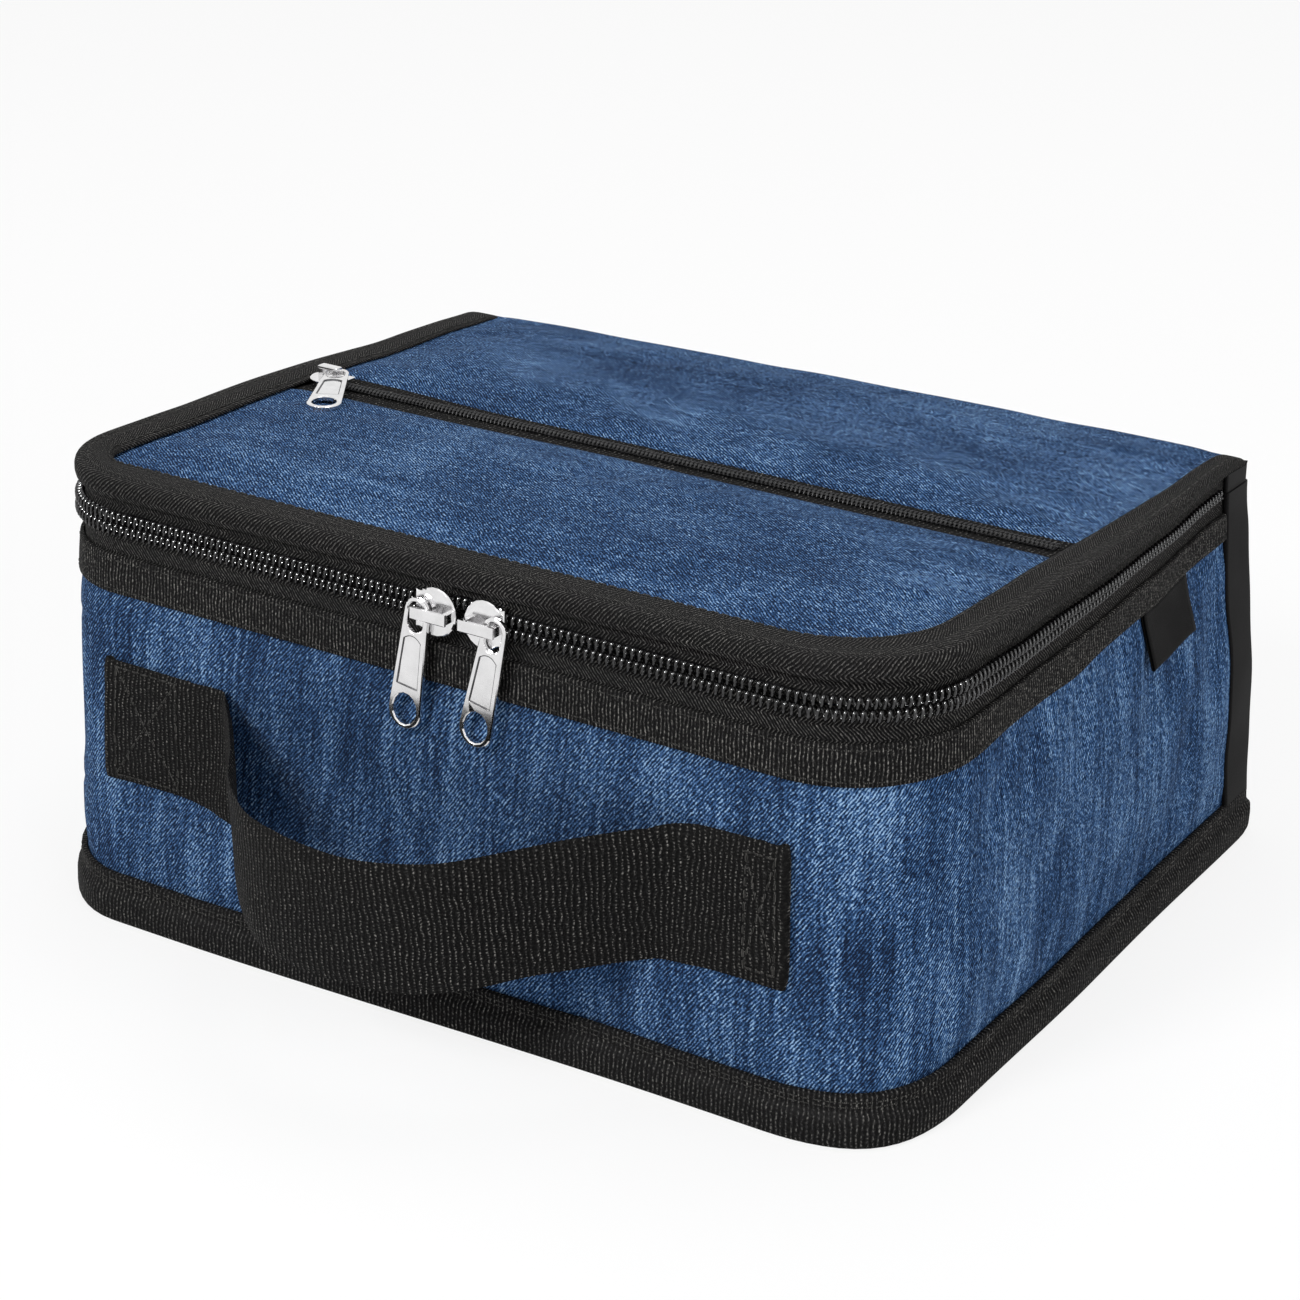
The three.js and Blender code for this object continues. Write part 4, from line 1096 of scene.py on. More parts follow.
class LidOperator(bpy.types.Operator):
    """Build the lid's binding and its two blue panels"""

    bl_idname = "lunch_bag.lid"
    bl_label = "Lid"

    def execute(self, context):
        sizes = context.scene.lunch_bag
        t = stations(2.5 * MM)
        points = sweep(t, section(LID_SECTION), BINDING_BACK, binding_radii, flatter)
        piece = make_piece("lid_binding_roll", bar_parts(points), "binding", 50)
        dress(piece, "lid", "black_binding", "lid_binding")

        front, sewn = self.front_panel(sizes.lid_crown)
        relax(front, sewn, LID_SWELL)
        dress(thicken(front), "lid", "blue_fabric", "lid_front_fabric")
        rear, sewn = self.rear_panel(sizes.lid_crown)
        relax(rear, sewn, LID_SWELL)
        thicken(rear)
        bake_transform(rear)
        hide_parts("lid_rear_fabric")
        self.stitches(sizes.stitch)
        return {"FINISHED"}

    def stitches(self, pitch):
        """Rows of stitches on the binding's top, and beside the pocket zip's folds."""
        t = stations(STITCH_STEP)
        behind = rearward(t, 0.2, 0.8)
        rows = []
        for out, height in BINDING_ROWS:
            out = np.full_like(t, out * MM)
            left, right = binding_radii(out)
            out = out * (1 - binding_narrows(t) * behind)
            x, y = outline(t, out, right, BINDING_ROWS_BACK, left)
            pressed = bell(y, -6, 20, 4) * (x > 100 * MM)
            rows.append((join(x, y, (height - 0.5 * behind - 0.4 * pressed) * MM), UP))
        sew("lid_binding_stitches", rows, pitch, "thread", "lid", "black_binding")
        x = np.linspace(-123, 123, 120) * MM
        rows = [(join(x, pocket_edge(x, sign) + sign * FOLD_SEAM, POCKET_HEIGHT), UP) for sign in (-1, 1)]
        sew("pocket_stitches", rows, pitch, "blue_thread", "lid", "blue_fabric")

    def crown(self, x, y, near, far, height):
        """Swell of a panel: rises softly from the binding at the sides and from its ends y = near and far."""
        ends = ease(y - near, 0, 22) * ease(far - y, 0, 18)
        return height * ease(np.abs(x), 124, -22) * ends

    def front_panel(self, crown):
        """Front panel: flat, sunk under the binding, crowned in the middle, and folded down at the pocket
        zip."""
        x, y = panel_grid(PANEL_OUT, lambda at: pocket_edge(at, -1), 3 * MM)
        inner = front_edge(x, -BINDING_IN, INNER_RADII)
        z = PANEL_HEIGHT + self.crown(x, y, inner, -3 * MM, crown)
        z = z - UNDER_BINDING * ease(inner + 3 * MM - y, 0, 5) - UNDER_BINDING * ease(np.abs(x), 121, 5)
        z = z + fold_ridge(pocket_edge(x, -1) - y)
        parts = grid_parts(placed(x, y, z), turn=True, uv=join(-y, x))
        sewn = (y < inner + 2 * MM) | (np.abs(x) > SIDE_SEAM) | (y > pocket_edge(x, -1) - 5 * MM)
        return make_piece("lid_front_cloth", parts, "lid_blue"), sewn

    def rear_panel(self, crown):
        """Rear panel: a profile from the pocket zip to the back edge, over it and down past the fold, carried
        across."""
        flat = np.linspace(7.5, 101, 34)
        bend = np.linspace(0, math.pi / 2, 8)
        fall = np.linspace(120, 102.5, 14)[1:]
        y = np.concatenate([flat, 102 + 4 * np.sin(bend), np.full(len(fall), 106.0)]) * MM
        z = np.concatenate([np.full(len(flat), 125.0), 121 + 4 * np.cos(bend), fall]) * MM
        xx, yy = grid(np.linspace(-134.7, 134.7, 92) * MM, y)
        moved = np.maximum(101 * MM - yy, 0) / (93.5 * MM)
        yy = yy + (pocket_edge(xx, 1) - 7.5 * MM) * moved
        zz = np.broadcast_to(z, xx.shape)
        rise = self.crown(xx, yy, 8 * MM, 104 * MM, crown) - UNDER_BINDING * ease(np.abs(xx), 121, 5)
        zz = zz + ease(zz, 118, 6) * (rise + fold_ridge(yy - pocket_edge(xx, 1)))
        narrow = 1 - 0.005 * ease(zz, 117, -10)
        yy = yy + 0.35 * MM * ease(zz, 116, -8)
        down = lengths_along(join(xx, yy, zz), 1, False)
        parts = grid_parts(placed(xx * narrow, yy, zz), uv=join(-down, xx))
        sewn = (yy < pocket_edge(xx, 1) + 5 * MM) | (np.abs(xx) > SIDE_SEAM) | (yy > 99 * MM)
        return make_piece("lid_rear_cloth", parts, "lid_blue"), sewn


def pocket_edge(x, sign):
    """y of the folded edge of the panel in front of the pocket zip (-1) or behind it (1): the gap widens
    softly towards the slider."""
    return np.where(
        sign < 0,
        -4.2 * MM - 2.2 * MM * ease(x, -5, -80),
        9.0 * MM + 2.0 * MM * ease(x, -60, -45),
    )


def fold_ridge(inside):
    """Height against the distance in from a folded edge: down at the fold, a low ridge, then a sewn
    groove."""
    fold = -0.75 * MM * ease(inside, 0.9, -0.9)
    return fold + 0.35 * MM * bell(inside, 2.0, 1.1) - 0.35 * MM * bell(inside, 4.2, 0.9)


# Main zip: tapes from and to a height, coils by middle height, both in mm, with phase and the way they part
TAPES = (
    ("lower_tape_cloth", "lower_zip_tape", "bag", 101.2, 113.9),
    ("upper_tape_cloth", "upper_zip_tape", "lid", 114.5, 123.8),
)
COILS = (
    ("lower_coil_loops", "lower_coil", "bag", 112.5, 0.0, -1),
    ("upper_coil_loops", "upper_coil", "lid", 115.9, math.pi, 1),
)
LOOP_OUT, LOOP_UP, LOOP_THREAD = 0.95 * MM, 1.42 * MM, 0.4 * MM
LOOP_LEAN = 0.6
LOOPS_APART = 1.5 * MM
TAPE_BACK = HALF_DEPTH - 6 * MM

# Pocket zip: its tapes and loops on each side of its line, and half the coil's length
POCKET_TAPES = (("pocket_tape_near", "pocket_tape_front", -1), ("pocket_tape_far", "pocket_tape_rear", 1))
POCKET_COILS = (("pocket_loops_near", "pocket_coil_front", -1), ("pocket_loops_far", "pocket_coil_rear", 1))
POCKET_HALF = 121.5 * MM
POCKET_TAPE_HEIGHT, POCKET_TAPE_THICK = 123.95 * MM, 0.6 * MM
POCKET_LOOP_OUT, POCKET_LOOP_UP, POCKET_THREAD = 1.1 * MM, 0.45 * MM, 0.33 * MM

# Turn from one place of a coil to the one that gives its direction
AHEAD = 0.04


def squared(wave, power):
    """A wave with fuller tops: its sign times its size^power."""
    return np.sign(wave) * np.abs(wave) ** power


class ZipOperator(bpy.types.Operator):
    """Build the tapes and coils of the main zip and of the pocket zip"""

    bl_idname = "lunch_bag.zips"
    bl_label = "Zips"

    def execute(self, context):
        sizes = context.scene.lunch_bag
        for name, node, body, low, high in TAPES:
            profile = section([
                (-0.9, low, 0.2), (-0.15, low, 0.2), (0.0, (low + high) / 2, 3.0), (-0.2, high, 0.3),
                (-0.9, high, 0.2),
            ])
            points = sweep(stations(2.5 * MM), profile, back=TAPE_BACK)
            dress(make_piece(name, bar_parts(points), "tape"), body, "zip_tape", node)
        for name, node, body, middle, phase, way in COILS:
            parts = self.coil(sizes.coil_pitch, middle * MM, phase, way)
            dress(make_piece(name, parts, "nylon", 60), body, "zip_coil", node)

        for name, node, sign in POCKET_TAPES:
            across = POCKET_LINE + sign * np.linspace(0.15, 11.5, 9) * MM
            x, y = grid(np.linspace(-126, 126, 70) * MM, across)
            z = POCKET_TAPE_HEIGHT + 0.3 * MM * ease(np.abs(y - POCKET_LINE), 3, 3)
            parts = grid_parts(placed(x, y, z), turn=sign < 0, uv=join(x, y))
            piece = make_piece(name, parts, "pocket_tape")
            dress(thicken(piece, POCKET_TAPE_THICK), "lid", "zip_tape", node)
        for name, node, sign in POCKET_COILS:
            parts = self.pocket_coil(sizes.pocket_pitch, sign)
            dress(make_piece(name, parts, "dull_nylon", 60), "lid", "zip_coil", node)
        return {"FINISHED"}

    def coil(self, pitch, middle, phase, way):
        """A flattened helix along the zip: out + a cos(turn), height + b sin(turn), a tube of six sides
        round it. It is smaller and flatter towards the back, and between the two sliders drawn away from
        the other."""
        t_fine = stations(0.8 * MM)
        x, y = outline(t_fine, 1.3 * MM, None, ZIP_BACK)
        length_fine = np.concatenate([[0.0], np.cumsum(np.hypot(np.diff(x), np.diff(y)))])
        turns = length_fine[-1] / pitch
        turn = np.linspace(0, turns * TWO_PI, int(turns * 14)) + phase
        length = (turn - phase) / TWO_PI * pitch

        def line(ahead):
            angle = turn + ahead
            along = length + (ahead - LOOP_LEAN * np.sin(angle)) / TWO_PI * pitch
            t = np.interp(np.clip(along, 0, length_fine[-1]), length_fine, t_fine)
            x, _ = outline(t, 0.0)
            apart = ease(x, 3, 5) * ease(x, 15.6, -5) * ((t > 2) & (t < 3))
            behind = rearward(t, 0, 0.7)
            out = (1.45 - 0.9 * behind) * MM + (1 - 0.3 * behind) * LOOP_OUT * squared(np.cos(angle), 0.7)
            x, y = outline(t, out, None, ZIP_BACK)
            rise = (1 - 0.5 * behind) * LOOP_UP * squared(np.sin(angle), 0.8)
            return placed(x, y, middle - way * 0.8 * MM * behind + rise + way * LOOPS_APART * apart)

        return tube(line(0.0), line(AHEAD), LOOP_THREAD)

    def pocket_coil(self, pitch, sign):
        """Half of the pocket zip: a flattened helix along x, its loops lying across."""
        turns = 2 * POCKET_HALF / pitch
        turn = np.linspace(0, turns * TWO_PI, int(turns * 9))

        def line(ahead):
            angle = turn + ahead + (math.pi if sign > 0 else 0)
            x = -POCKET_HALF + (turn + ahead) / TWO_PI * pitch
            apart = 0.8 * MM * ease(x, -121, 4) * ease(x, -112, -3)
            y = POCKET_LINE + sign * (1.05 * MM + apart + POCKET_LOOP_OUT * np.sin(angle))
            return placed(x, y, POCKET_HEIGHT + POCKET_LOOP_UP * np.cos(angle))

        return tube(line(0.0), line(AHEAD), POCKET_THREAD)


# Lining of the walls in mm: out of the cloth, height and radius
LINING_SECTION = (
    (-6.9, 9.0, 0.5), (-6.9, 60, 6), (-6.9, 107.6, 1.5), (-5.2, 109.0, 1.0), (-2.6, 109.0, 1.0),
    (-1.15, 107.8, 1.5), (-1.15, 60, 6), (-1.15, 8.7, 0.5), (-4, 8.7, 1),
)

# Pads in mm: how far inside the sides and the back, from and to which height, and how far their faces swell
FLOOR_PAD = (7.3, 7.3, 3.5, 9.3, (0.6, 0.0))
LID_PAD = (3.5, 6, 115.4, 120.6, (0.0, 1.0))
BOARD = (1.6, 1.6, 1.2, 3.0, (0.0, 0.0))

# Thin layer under the pocket: how far inside, height and thickness
POCKET_INSET, POCKET_FLOOR, POCKET_THICK = 1.6 * MM, 121.4 * MM, 0.4 * MM


def quilt(tt, oo, zz):
    """Swell of the lining's inner face: the square of half a sine wave of its height."""
    pillow = np.sin(math.pi * (zz - 9 * MM) / (100 * MM)) ** 2
    return -0.9 * MM * ease(oo, -3, -3) * pillow, np.zeros_like(oo)


class InsideOperator(bpy.types.Operator):
    """Build the padded lining of the body, the floor pad, the lid's pad and the pocket"""

    bl_idname = "lunch_bag.inside"
    bl_label = "Inside"

    def execute(self, context):
        ring = ring_parts(sweep(stations(4 * MM, closed=True), section(LINING_SECTION), lift=quilt))
        walls = make_piece("lining_walls", ring, "foil")
        dress(walls, "bag", "foil_lining", "body_lining", "wall_foam", "back_foam")

        floor, sewn = pad_mesh("floor_pad", "foil", *FLOOR_PAD)
        relax(floor, np.concatenate([sewn, np.ones_like(sewn)]), PAD_SWELL)
        dress(floor, "bag", "foil_lining", "base_foam")
        lid, sewn = pad_mesh("lid_pad", "foil", *LID_PAD)
        relax(lid, np.concatenate([np.ones_like(sewn), sewn]), PAD_SWELL)
        dress(lid, "lid", "foil_lining", "lid_foam", "lid_lining")

        x, y = panel_grid(-POCKET_INSET, HALF_DEPTH - POCKET_INSET, 6 * MM)
        pocket = make_piece("pocket_sheet", grid_parts(placed(x, y, POCKET_FLOOR), turn=True), "pocket")
        dress(thicken(pocket, POCKET_THICK), "lid", "pocket_cloth", "pocket_backing")
        board, _ = pad_mesh("board_sheet", "board", *BOARD)
        dress(board, "bag", "board", "base_board")
        return {"FINISHED"}


def pad_mesh(name, key, inset, back_inset, low, high, puffs):
    """Closed pad over the plan, in mm: two grids sewn at their edge, each swelling by its puff times a soft
    step from the edge. Gives the piece, and which points of one grid lie near the edge."""
    out, back = -inset * MM, HALF_DEPTH - back_inset * MM
    x, y = panel_grid(out, back, 5 * MM)
    beside, before, behind = HALF_WIDTH + out - np.abs(x), y - front_edge(x, out), back - y
    rim, edge = (
        ease(beside, 0, reach) * ease(before, 0, reach) * ease(behind, 0, reach) for reach in (12, 2)
    )
    low, high = low * MM, high * MM
    middle, half = (low + high) / 2, (high - low) / 2 * (0.35 + 0.65 * edge)
    upper = grid_parts(placed(x, y, middle + half + puffs[0] * MM * rim), turn=True)
    lower = grid_parts(placed(x, y, middle - half - puffs[1] * MM * rim))
    nu, nv = x.shape
    loop = np.concatenate([
        np.arange(nv), np.arange(1, nu) * nv + nv - 1,
        (nu - 1) * nv + np.arange(nv - 2, -1, -1), np.arange(nu - 2, 0, -1) * nv,
    ])
    count = nu * nv
    following = np.roll(loop, -1)
    band = np.stack([loop, loop + count, following + count, following], -1)
    verts = np.concatenate([upper[0], lower[0]])
    faces = upper[1] + [[k + count for k in face] for face in lower[1]] + band.tolist()
    uvs = np.concatenate([upper[2], lower[2], verts[band.ravel()][:, :2]])
    return make_piece(name, (verts, faces, uvs), key, 60), (rim < 0.2).ravel()


# Handle: the share of the width between the sewn ends, and the share of the reach
HOOP = np.array([
    (0.08, 0.09), (0.16, 0.37), (0.25, 0.75), (0.36, 0.96), (0.5, 1.0),
    (0.63, 0.86), (0.75, 0.48), (0.86, 0.17), (0.93, 0.07),
])
HOOP_LEFT, HOOP_RIGHT = -79 * MM, 92 * MM
HOOP_REACH = 48 * MM
HOOP_CUT = 4 * MM
STAND, STAND_UNDER = 2.3 * MM, 0.9 * MM
SEWN_LEFT, SEWN_RIGHT = 31 * MM, 13.5 * MM
STRAP_HEIGHT = 58.5 * MM
STRAP_HALF = 19 * MM
STRAP_THICK = 1.6 * MM
DROOP = math.radians(10)
TWIST = 22 * MM
BOX_MARGIN, BOX_THREAD = 3.5 * MM, 0.34 * MM


def hoop_line():
    """The strap's middle line in plan, (x, out): under the left sewn end, round its fold, over it, along
    the hoop as a uniform Catmull-Rom curve, and the same at the right end."""
    knots = np.concatenate([[(0, STAND / HOOP_REACH)], HOOP, [(1, STAND / HOOP_REACH)]])
    knots = np.stack([HOOP_LEFT + (HOOP_RIGHT - HOOP_LEFT) * knots[:, 0], HOOP_REACH * knots[:, 1]], -1)
    last = len(knots) - 1
    u = np.linspace(0, last, 130)
    k = np.minimum(u.astype(int), last - 1)
    f = (u - k)[:, None]
    p0, p1, p2, p3 = (knots[np.clip(k + d, 0, last)] for d in (-1, 0, 1, 2))
    v1, v2 = (p2 - p0) / 2, (p3 - p1) / 2
    hoop = (2 * p1 - 2 * p2 + v1 + v2) * f ** 3 + (3 * p2 - 3 * p1) * f ** 2
    hoop = hoop - (2 * v1 + v2) * f ** 2 + v1 * f + p1
    turn = np.linspace(0, math.pi, 9)
    middle, half = (STAND + STAND_UNDER) / 2, (STAND - STAND_UNDER) / 2
    left_fold, right_fold = HOOP_LEFT - SEWN_LEFT + half, HOOP_RIGHT + SEWN_RIGHT - half
    left = np.concatenate([
        join(np.linspace(HOOP_LEFT - 2 * MM, left_fold, 14), STAND_UNDER),
        join(left_fold - half * np.sin(turn), middle - half * np.cos(turn))[1:],
        join(np.linspace(left_fold, HOOP_LEFT, 14), STAND)[1:-1],
    ])
    right = np.concatenate([
        join(np.linspace(HOOP_RIGHT, right_fold, 8), STAND)[1:-1],
        join(right_fold + half * np.sin(turn), middle + half * np.cos(turn)),
        join(np.linspace(right_fold, HOOP_RIGHT + 2 * MM, 8), STAND_UNDER)[1:],
    ])
    return np.concatenate([left, hoop, right])


def strap_points(line, wide, thick):
    """Points of the strap at its line's places, `wide` up its width and `thick` off its middle, turned down
    by the droop about the sewing height, more and more over the twisting stretch at each end. The left sewn
    end is a tenth narrower."""
    way = unit(np.gradient(line, axis=0))
    aside = np.stack([-way[:, 1], way[:, 0]], -1)
    x, out = np.moveaxis(line[:, None, :] + aside[:, None, :] * thick[None, :, None], -1, 0)
    narrow = 1 - 0.1 * ease(line[:, 0], -55, -30)
    up = wide[None, :] * narrow[:, None]
    reach = np.minimum(line[:, 0] - HOOP_LEFT, HOOP_RIGHT - line[:, 0])[:, None] / TWIST
    stood = np.clip((line[:, 1] - 1.5 * STAND) / STRAP_HALF, 0, 1)[:, None]
    droop = np.minimum(DROOP * smooth(reach), np.arcsin(stood))
    y = -out * np.cos(droop) - up * np.sin(droop)
    z = -out * np.sin(droop) + up * np.cos(droop)
    return placed(x, y - HALF_DEPTH, z + STRAP_HEIGHT)


class HandleOperator(bpy.types.Operator):
    """Build the webbing handle in two halves, with its folded and sewn ends"""

    bl_idname = "lunch_bag.handle"
    bl_label = "Handle"

    def execute(self, context):
        line = hoop_line()
        half, thick = STRAP_HALF, STRAP_THICK / 2
        u = np.linspace(-1, 1, 15)
        edge = 0.25 + 0.75 * np.sqrt(np.maximum(1 - np.abs(u) ** 10, 0.0))
        wide = np.concatenate([half * u, half * u[::-1][1:-1]])
        rim = np.concatenate([thick * edge, -thick * edge[::-1][1:-1]])
        points = strap_points(line, wide, rim)
        lengths = walked(line)
        cut = int(np.argmin(np.abs(line[:, 0] - HOOP_CUT) + 1.0 * (line[:, 1] < 30 * MM)))
        for name, run, nodes, start, end in (
            ("strap_left", slice(cut + 1), ("handle_end_left", "handle_grip"), -0.0785, 0.003),
            ("strap_right", slice(cut, None), ("handle_end_right",), 0.0915, 0.005),
        ):
            parts = bar_parts(points[run], join(lengths[run, None], wide[None, :]))
            piece = make_piece(name, parts, "webbing", 60)
            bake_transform(piece)
            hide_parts(*nodes)
        rows = box_cross(HOOP_LEFT - SEWN_LEFT + 4 * MM, HOOP_LEFT - 5 * MM)
        rows += box_cross(HOOP_RIGHT + 2.5 * MM, HOOP_RIGHT + SEWN_RIGHT - 2.5 * MM)
        pitch = context.scene.lunch_bag.stitch
        sew("handle_stitches", rows, pitch, "thread", "bag", "black_webbing", BOX_THREAD)
        return {"FINISHED"}


def box_cross(x0, x1):
    """Lines of a sewn box with a cross in it, on the face of a strap's end."""
    z0, z1 = STRAP_HEIGHT - STRAP_HALF + BOX_MARGIN, STRAP_HEIGHT + STRAP_HALF - BOX_MARGIN
    corners = [(x0, z0), (x1, z0), (x1, z1), (x0, z1)]
    lines = []
    for a, b in ((0, 1), (1, 2), (2, 3), (3, 0), (0, 2), (1, 3)):
        x, z = np.linspace(corners[a], corners[b], 30).T
        lines.append((join(x, -HALF_DEPTH - STAND - 0.5 * STRAP_THICK, z), (0, -1, 0)))
    return lines


# Folded tag: how far it hangs, half the gap in its fold, its cloth, and its y from front to back in mm
TAG_DROP = 15.4 * MM
TAG_FOLD = 0.42 * MM
TAG_THICK = 0.35 * MM
TAG_FRONT, TAG_BACK = 30, 62
TAG_TOP, TAG_OUT = 94.2 * MM, 0.8 * MM


class TagOperator(bpy.types.Operator):
    """Build the folded tag on the right wall"""

    bl_idname = "lunch_bag.tag"
    bl_label = "Side Tag"

    def execute(self, context):
        turn = np.linspace(0, math.pi, 7)[1:-1]
        down = np.linspace(0, TAG_DROP, 16)
        s = np.concatenate([down, TAG_DROP + TAG_FOLD * np.sin(turn), down[::-1]])
        off = np.concatenate([np.full(16, TAG_FOLD), TAG_FOLD * np.cos(turn), np.full(16, -TAG_FOLD)])
        y = (np.linspace(TAG_FRONT, TAG_BACK, 18) * MM)[:, None]
        share = np.clip(s / TAG_DROP, 0, 1)
        swing = (2.4 + 1.2 * (TAG_BACK * MM - y) / (32 * MM)) * MM * share ** 1.4
        points = placed(HALF_WIDTH + TAG_OUT + swing + off, y, TAG_TOP - s * np.cos(0.22 * share))
        piece = make_piece("side_tag_cloth", grid_parts(points, turn=True), "tag", 60)
        dress(thicken(piece, TAG_THICK, 0.0), "bag", "tag_cloth", "side_tag")
        return {"FINISHED"}


# Metal: its nodes, and for the dark line of painted shade round each pull's panel the body, the pivot in its
# eye, tilt and lean
METAL_NODES = ("slider_left", "slider_right", "pocket_slider", "pull_left", "pull_right", "pocket_pull")
PULL_LEFT = (-2.651 * MM, -104.192 * MM, 114.391 * MM)
PULL_RIGHT = (20.91 * MM, -104.192 * MM, 114.391 * MM)
PULL_POCKET = (-112.557 * MM, 7.515 * MM, 122.112 * MM)
HANGING = math.radians(88.5)
LYING = -math.atan2(LID_FALL, 2 * HALF_DEPTH)
PULL_LINES = (
    ("pull_left_line", "zip_pull_left", PULL_LEFT, -math.radians(8.5), HANGING),
    ("pull_right_line", "zip_pull_right", PULL_RIGHT, -math.radians(12), HANGING),
    ("pocket_pull_line", "lid_pocket_pull", PULL_POCKET, math.radians(30), LYING),
)
WELD_REACH = 0.005 * MM
EDGE_WIDTH = 0.12 * MM
EDGE_ANGLE = math.radians(40)

# Sunk panel of a pull: half its width above and below, its two ends, the height of its face and its arch
PANEL_NEAR, PANEL_FAR = 2.61 * MM, 3.25 * MM
PANEL_TOP, PANEL_LOW = -8.4 * MM, -21.5 * MM
PANEL_FACE = 0.64 * MM
PANEL_ARCH = 2.6 * MM
PANEL_LINE = 0.2 * MM


def rotated(a, b, angle):
    """Two coordinates turned by an angle in their plane."""
    cos, sin = math.cos(angle), math.sin(angle)
    return cos * a - sin * b, sin * a + cos * b


class MetalOperator(bpy.types.Operator):
    """Finish the sliders and pulls: weld, round their edges, plate them, and lay a dark line of painted shade
    round each pull's panel
    """

    bl_idname = "lunch_bag.metal"
    bl_label = "Sliders and Pulls"

    def execute(self, context):
        for name in METAL_NODES:
            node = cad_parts[name]
            node.data.materials.clear()
            node.data.materials.append(MATERIALS["nickel"])
            adjust(node.modifiers.new("weld", "WELD"), merge_threshold=WELD_REACH)
            adjust(
                node.modifiers.new("edges", "BEVEL"), width=EDGE_WIDTH, segments=2, limit_method="ANGLE",
                angle_limit=EDGE_ANGLE, harden_normals=True,
            )
        # A dark tube of painted shade along the groove round each pull's sunk panel
        for name, body, at, tilt, lean in PULL_LINES:
            x, y, z = panel_line().T
            x, y = rotated(x, y, tilt)
            y, z = rotated(y, z, lean)
            points = np.stack([x, y, z], -1) + np.array(at)
            ahead = points + (np.roll(points, -1, axis=0) - np.roll(points, 1, axis=0))
            dress(make_piece(name, tube(points, ahead, PANEL_LINE, 5, True), "groove", 60), body, "nickel")
        return {"FINISHED"}


def panel_line():
    """Closed line round the sunk panel of a pull, in the pull's own frame: straight sides, a straight lower
    end and an arched top, 2f(1-f) high."""
    f = np.linspace(0, 1, 12)[:-1]
    wider, longer = (PANEL_NEAR - PANEL_FAR) * f, (PANEL_LOW - PANEL_TOP) * f
    left = join(-PANEL_NEAR + wider, PANEL_TOP + longer)
    foot = join(-PANEL_FAR + 2 * PANEL_FAR * f, PANEL_LOW)
    right = join(PANEL_FAR + wider, PANEL_LOW + (PANEL_TOP - PANEL_LOW) * f)
    arch = join(PANEL_NEAR - 2 * PANEL_NEAR * f, PANEL_TOP + 2 * f * (1 - f) * PANEL_ARCH)
    flat = np.concatenate([left, foot, right, arch])
    return join(flat[:, 0], flat[:, 1], PANEL_FACE)


# Stage: the floor, the world's light, and the lamps by place, size and power; glints only makes highlights
FLOOR_HALF = 6
FLOOR_COLOUR = (0.8, 0.8, 0.8, 1)
FLOOR_GLOW = 0.8
WORLD_LIGHT = 0.31
LAMPS = (
    ("key", (-0.6, -1.7, 1.4), 0.6, 25.5),
    ("glints", (-0.1, -1.6, 1.5), 0.3, 110.0),
    ("fill", (1.9, -0.6, 0.9), 1.2, 23.0),
    ("top", (0.0, 0.5, 2.2), 1.6, 25.0),
)
LAMP_TARGET = Vector((0, 0, 0.06))

# Camera: place, direction, and its focal length and sensor in pixels and mm
CAMERA_PLACE = (0.4447, -0.7028, 0.4418)
CAMERA_WAY = (-0.4869, 0.7695, -0.4134)
FOCAL_PIXELS, FRAME_PIXELS, SENSOR = 3265, 1300, 36
NEAREST = 0.05


def aim(name, data, at, way):
    """An object for a lamp or camera, at a place and looking a way."""
    holder = bpy.data.objects.new(name, data)
    holder.location = at
    holder.rotation_euler = way.to_track_quat("-Z", "Y").to_euler()
    bpy.context.scene.collection.objects.link(holder)
    return holder


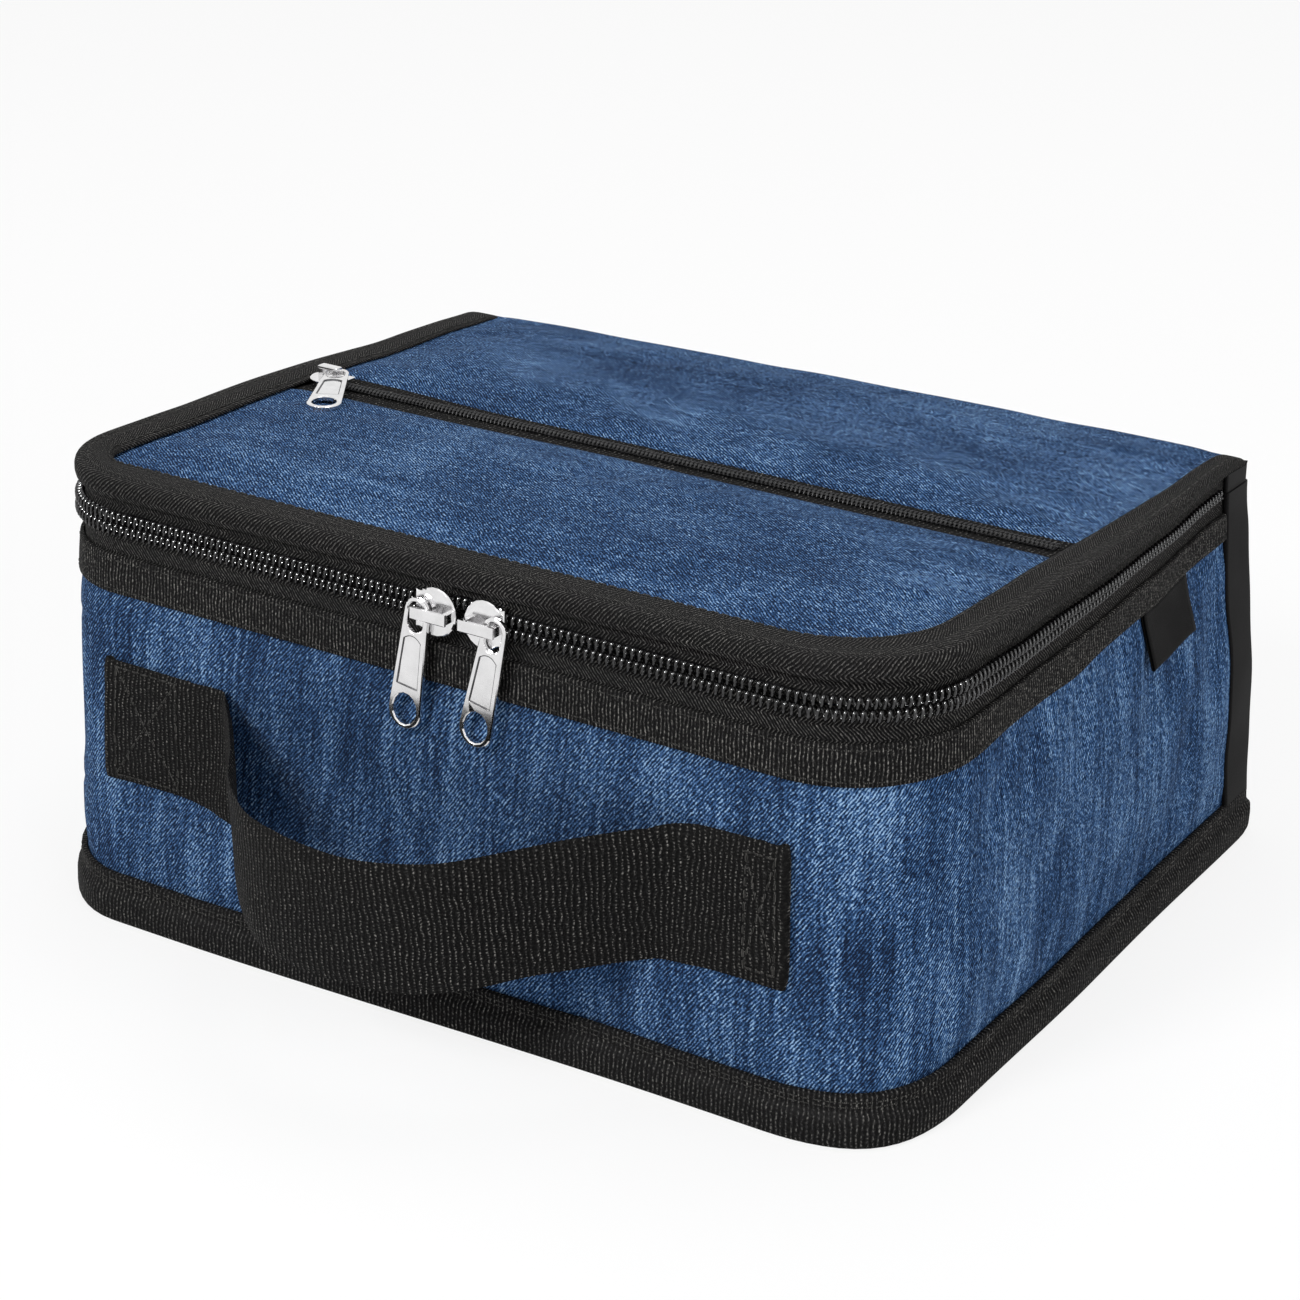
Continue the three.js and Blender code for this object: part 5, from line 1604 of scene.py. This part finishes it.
class StageOperator(bpy.types.Operator):
    """Build the floor, the soft lights and the camera"""

    bl_idname = "lunch_bag.stage"
    bl_label = "Stage"

    def execute(self, context):
        s = Surface("pale_floor")
        s.shader.inputs["Base Color"].default_value = FLOOR_COLOUR
        s.shader.inputs["Roughness"].default_value = 0.9
        glow = s.node("ShaderNodeEmission")
        blend = s.node("ShaderNodeMixShader")
        sources = (s.times(s.direct(), FLOOR_GLOW), s.shader.outputs[0], glow.outputs[0])
        for source, target in zip(sources, blend.inputs):
            s.link(source, target)
        s.link(blend.outputs[0], s.tree.nodes["Material Output"].inputs[0])
        MATERIALS["floor"] = s.material
        corners = [[[x, y, 0] for y in (-FLOOR_HALF, FLOOR_HALF)] for x in (-FLOOR_HALF, FLOOR_HALF)]
        make_piece("floor", grid_parts(np.array(corners, float)), "floor")

        world = bpy.data.worlds.new("studio")
        context.scene.world = world
        world.use_nodes = True
        w = Wiring(world.node_tree)
        back = world.node_tree.nodes["Background"]
        w.link(w.scaled(w.direct(), 1 - WORLD_LIGHT, WORLD_LIGHT), back.inputs["Strength"])
        back.inputs["Color"].default_value = (1, 1, 1, 1)

        for name, at, size, power in LAMPS:
            lamp = adjust(bpy.data.lights.new(name, "AREA"), size=size, energy=power)
            aim(name, lamp, at, LAMP_TARGET - Vector(at)).visible_diffuse = name != "glints"

        camera = bpy.data.cameras.new("camera")
        adjust(camera, lens=FOCAL_PIXELS / FRAME_PIXELS * SENSOR, sensor_width=SENSOR, clip_start=NEAREST)
        context.scene.camera = aim("camera", camera, CAMERA_PLACE, Vector(CAMERA_WAY))
        context.scene.view_settings.view_transform = "Standard"
        return {"FINISHED"}


class LunchBagPanel(bpy.types.Panel):
    """Lists the pieces of the bag and their sizes"""

    bl_idname = "VIEW3D_PT_lunch_bag"
    bl_label = "Lunch Bag"
    bl_space_type = "VIEW_3D"
    bl_region_type = "UI"
    bl_category = "Lunch Bag"

    def draw(self, context):
        for operator in OPERATORS:
            self.layout.operator(operator.bl_idname)
        for name in LunchBagSizes.__annotations__:
            self.layout.prop(context.scene.lunch_bag, name)


OPERATORS = (
    WallsOperator, TrimOperator, LidOperator, ZipOperator, InsideOperator, HandleOperator, TagOperator,
    MetalOperator, StageOperator,
)


def register():
    for kind in (LunchBagSizes, *OPERATORS, LunchBagPanel):
        bpy.utils.register_class(kind)
    bpy.types.Scene.lunch_bag = bpy.props.PointerProperty(type=LunchBagSizes)


def unregister():
    del bpy.types.Scene.lunch_bag
    for kind in reversed((LunchBagSizes, *OPERATORS, LunchBagPanel)):
        bpy.utils.unregister_class(kind)


def main():
    register()
    build_groups()
    build_materials(bpy.context.scene.lunch_bag)
    bpy.ops.lunch_bag.walls()
    bpy.ops.lunch_bag.trim()
    bpy.ops.lunch_bag.lid()
    bpy.ops.lunch_bag.zips()
    bpy.ops.lunch_bag.inside()
    bpy.ops.lunch_bag.handle()
    bpy.ops.lunch_bag.tag()
    bpy.ops.lunch_bag.metal()
    bpy.ops.lunch_bag.stage()


if __name__ == "__main__":
    main()
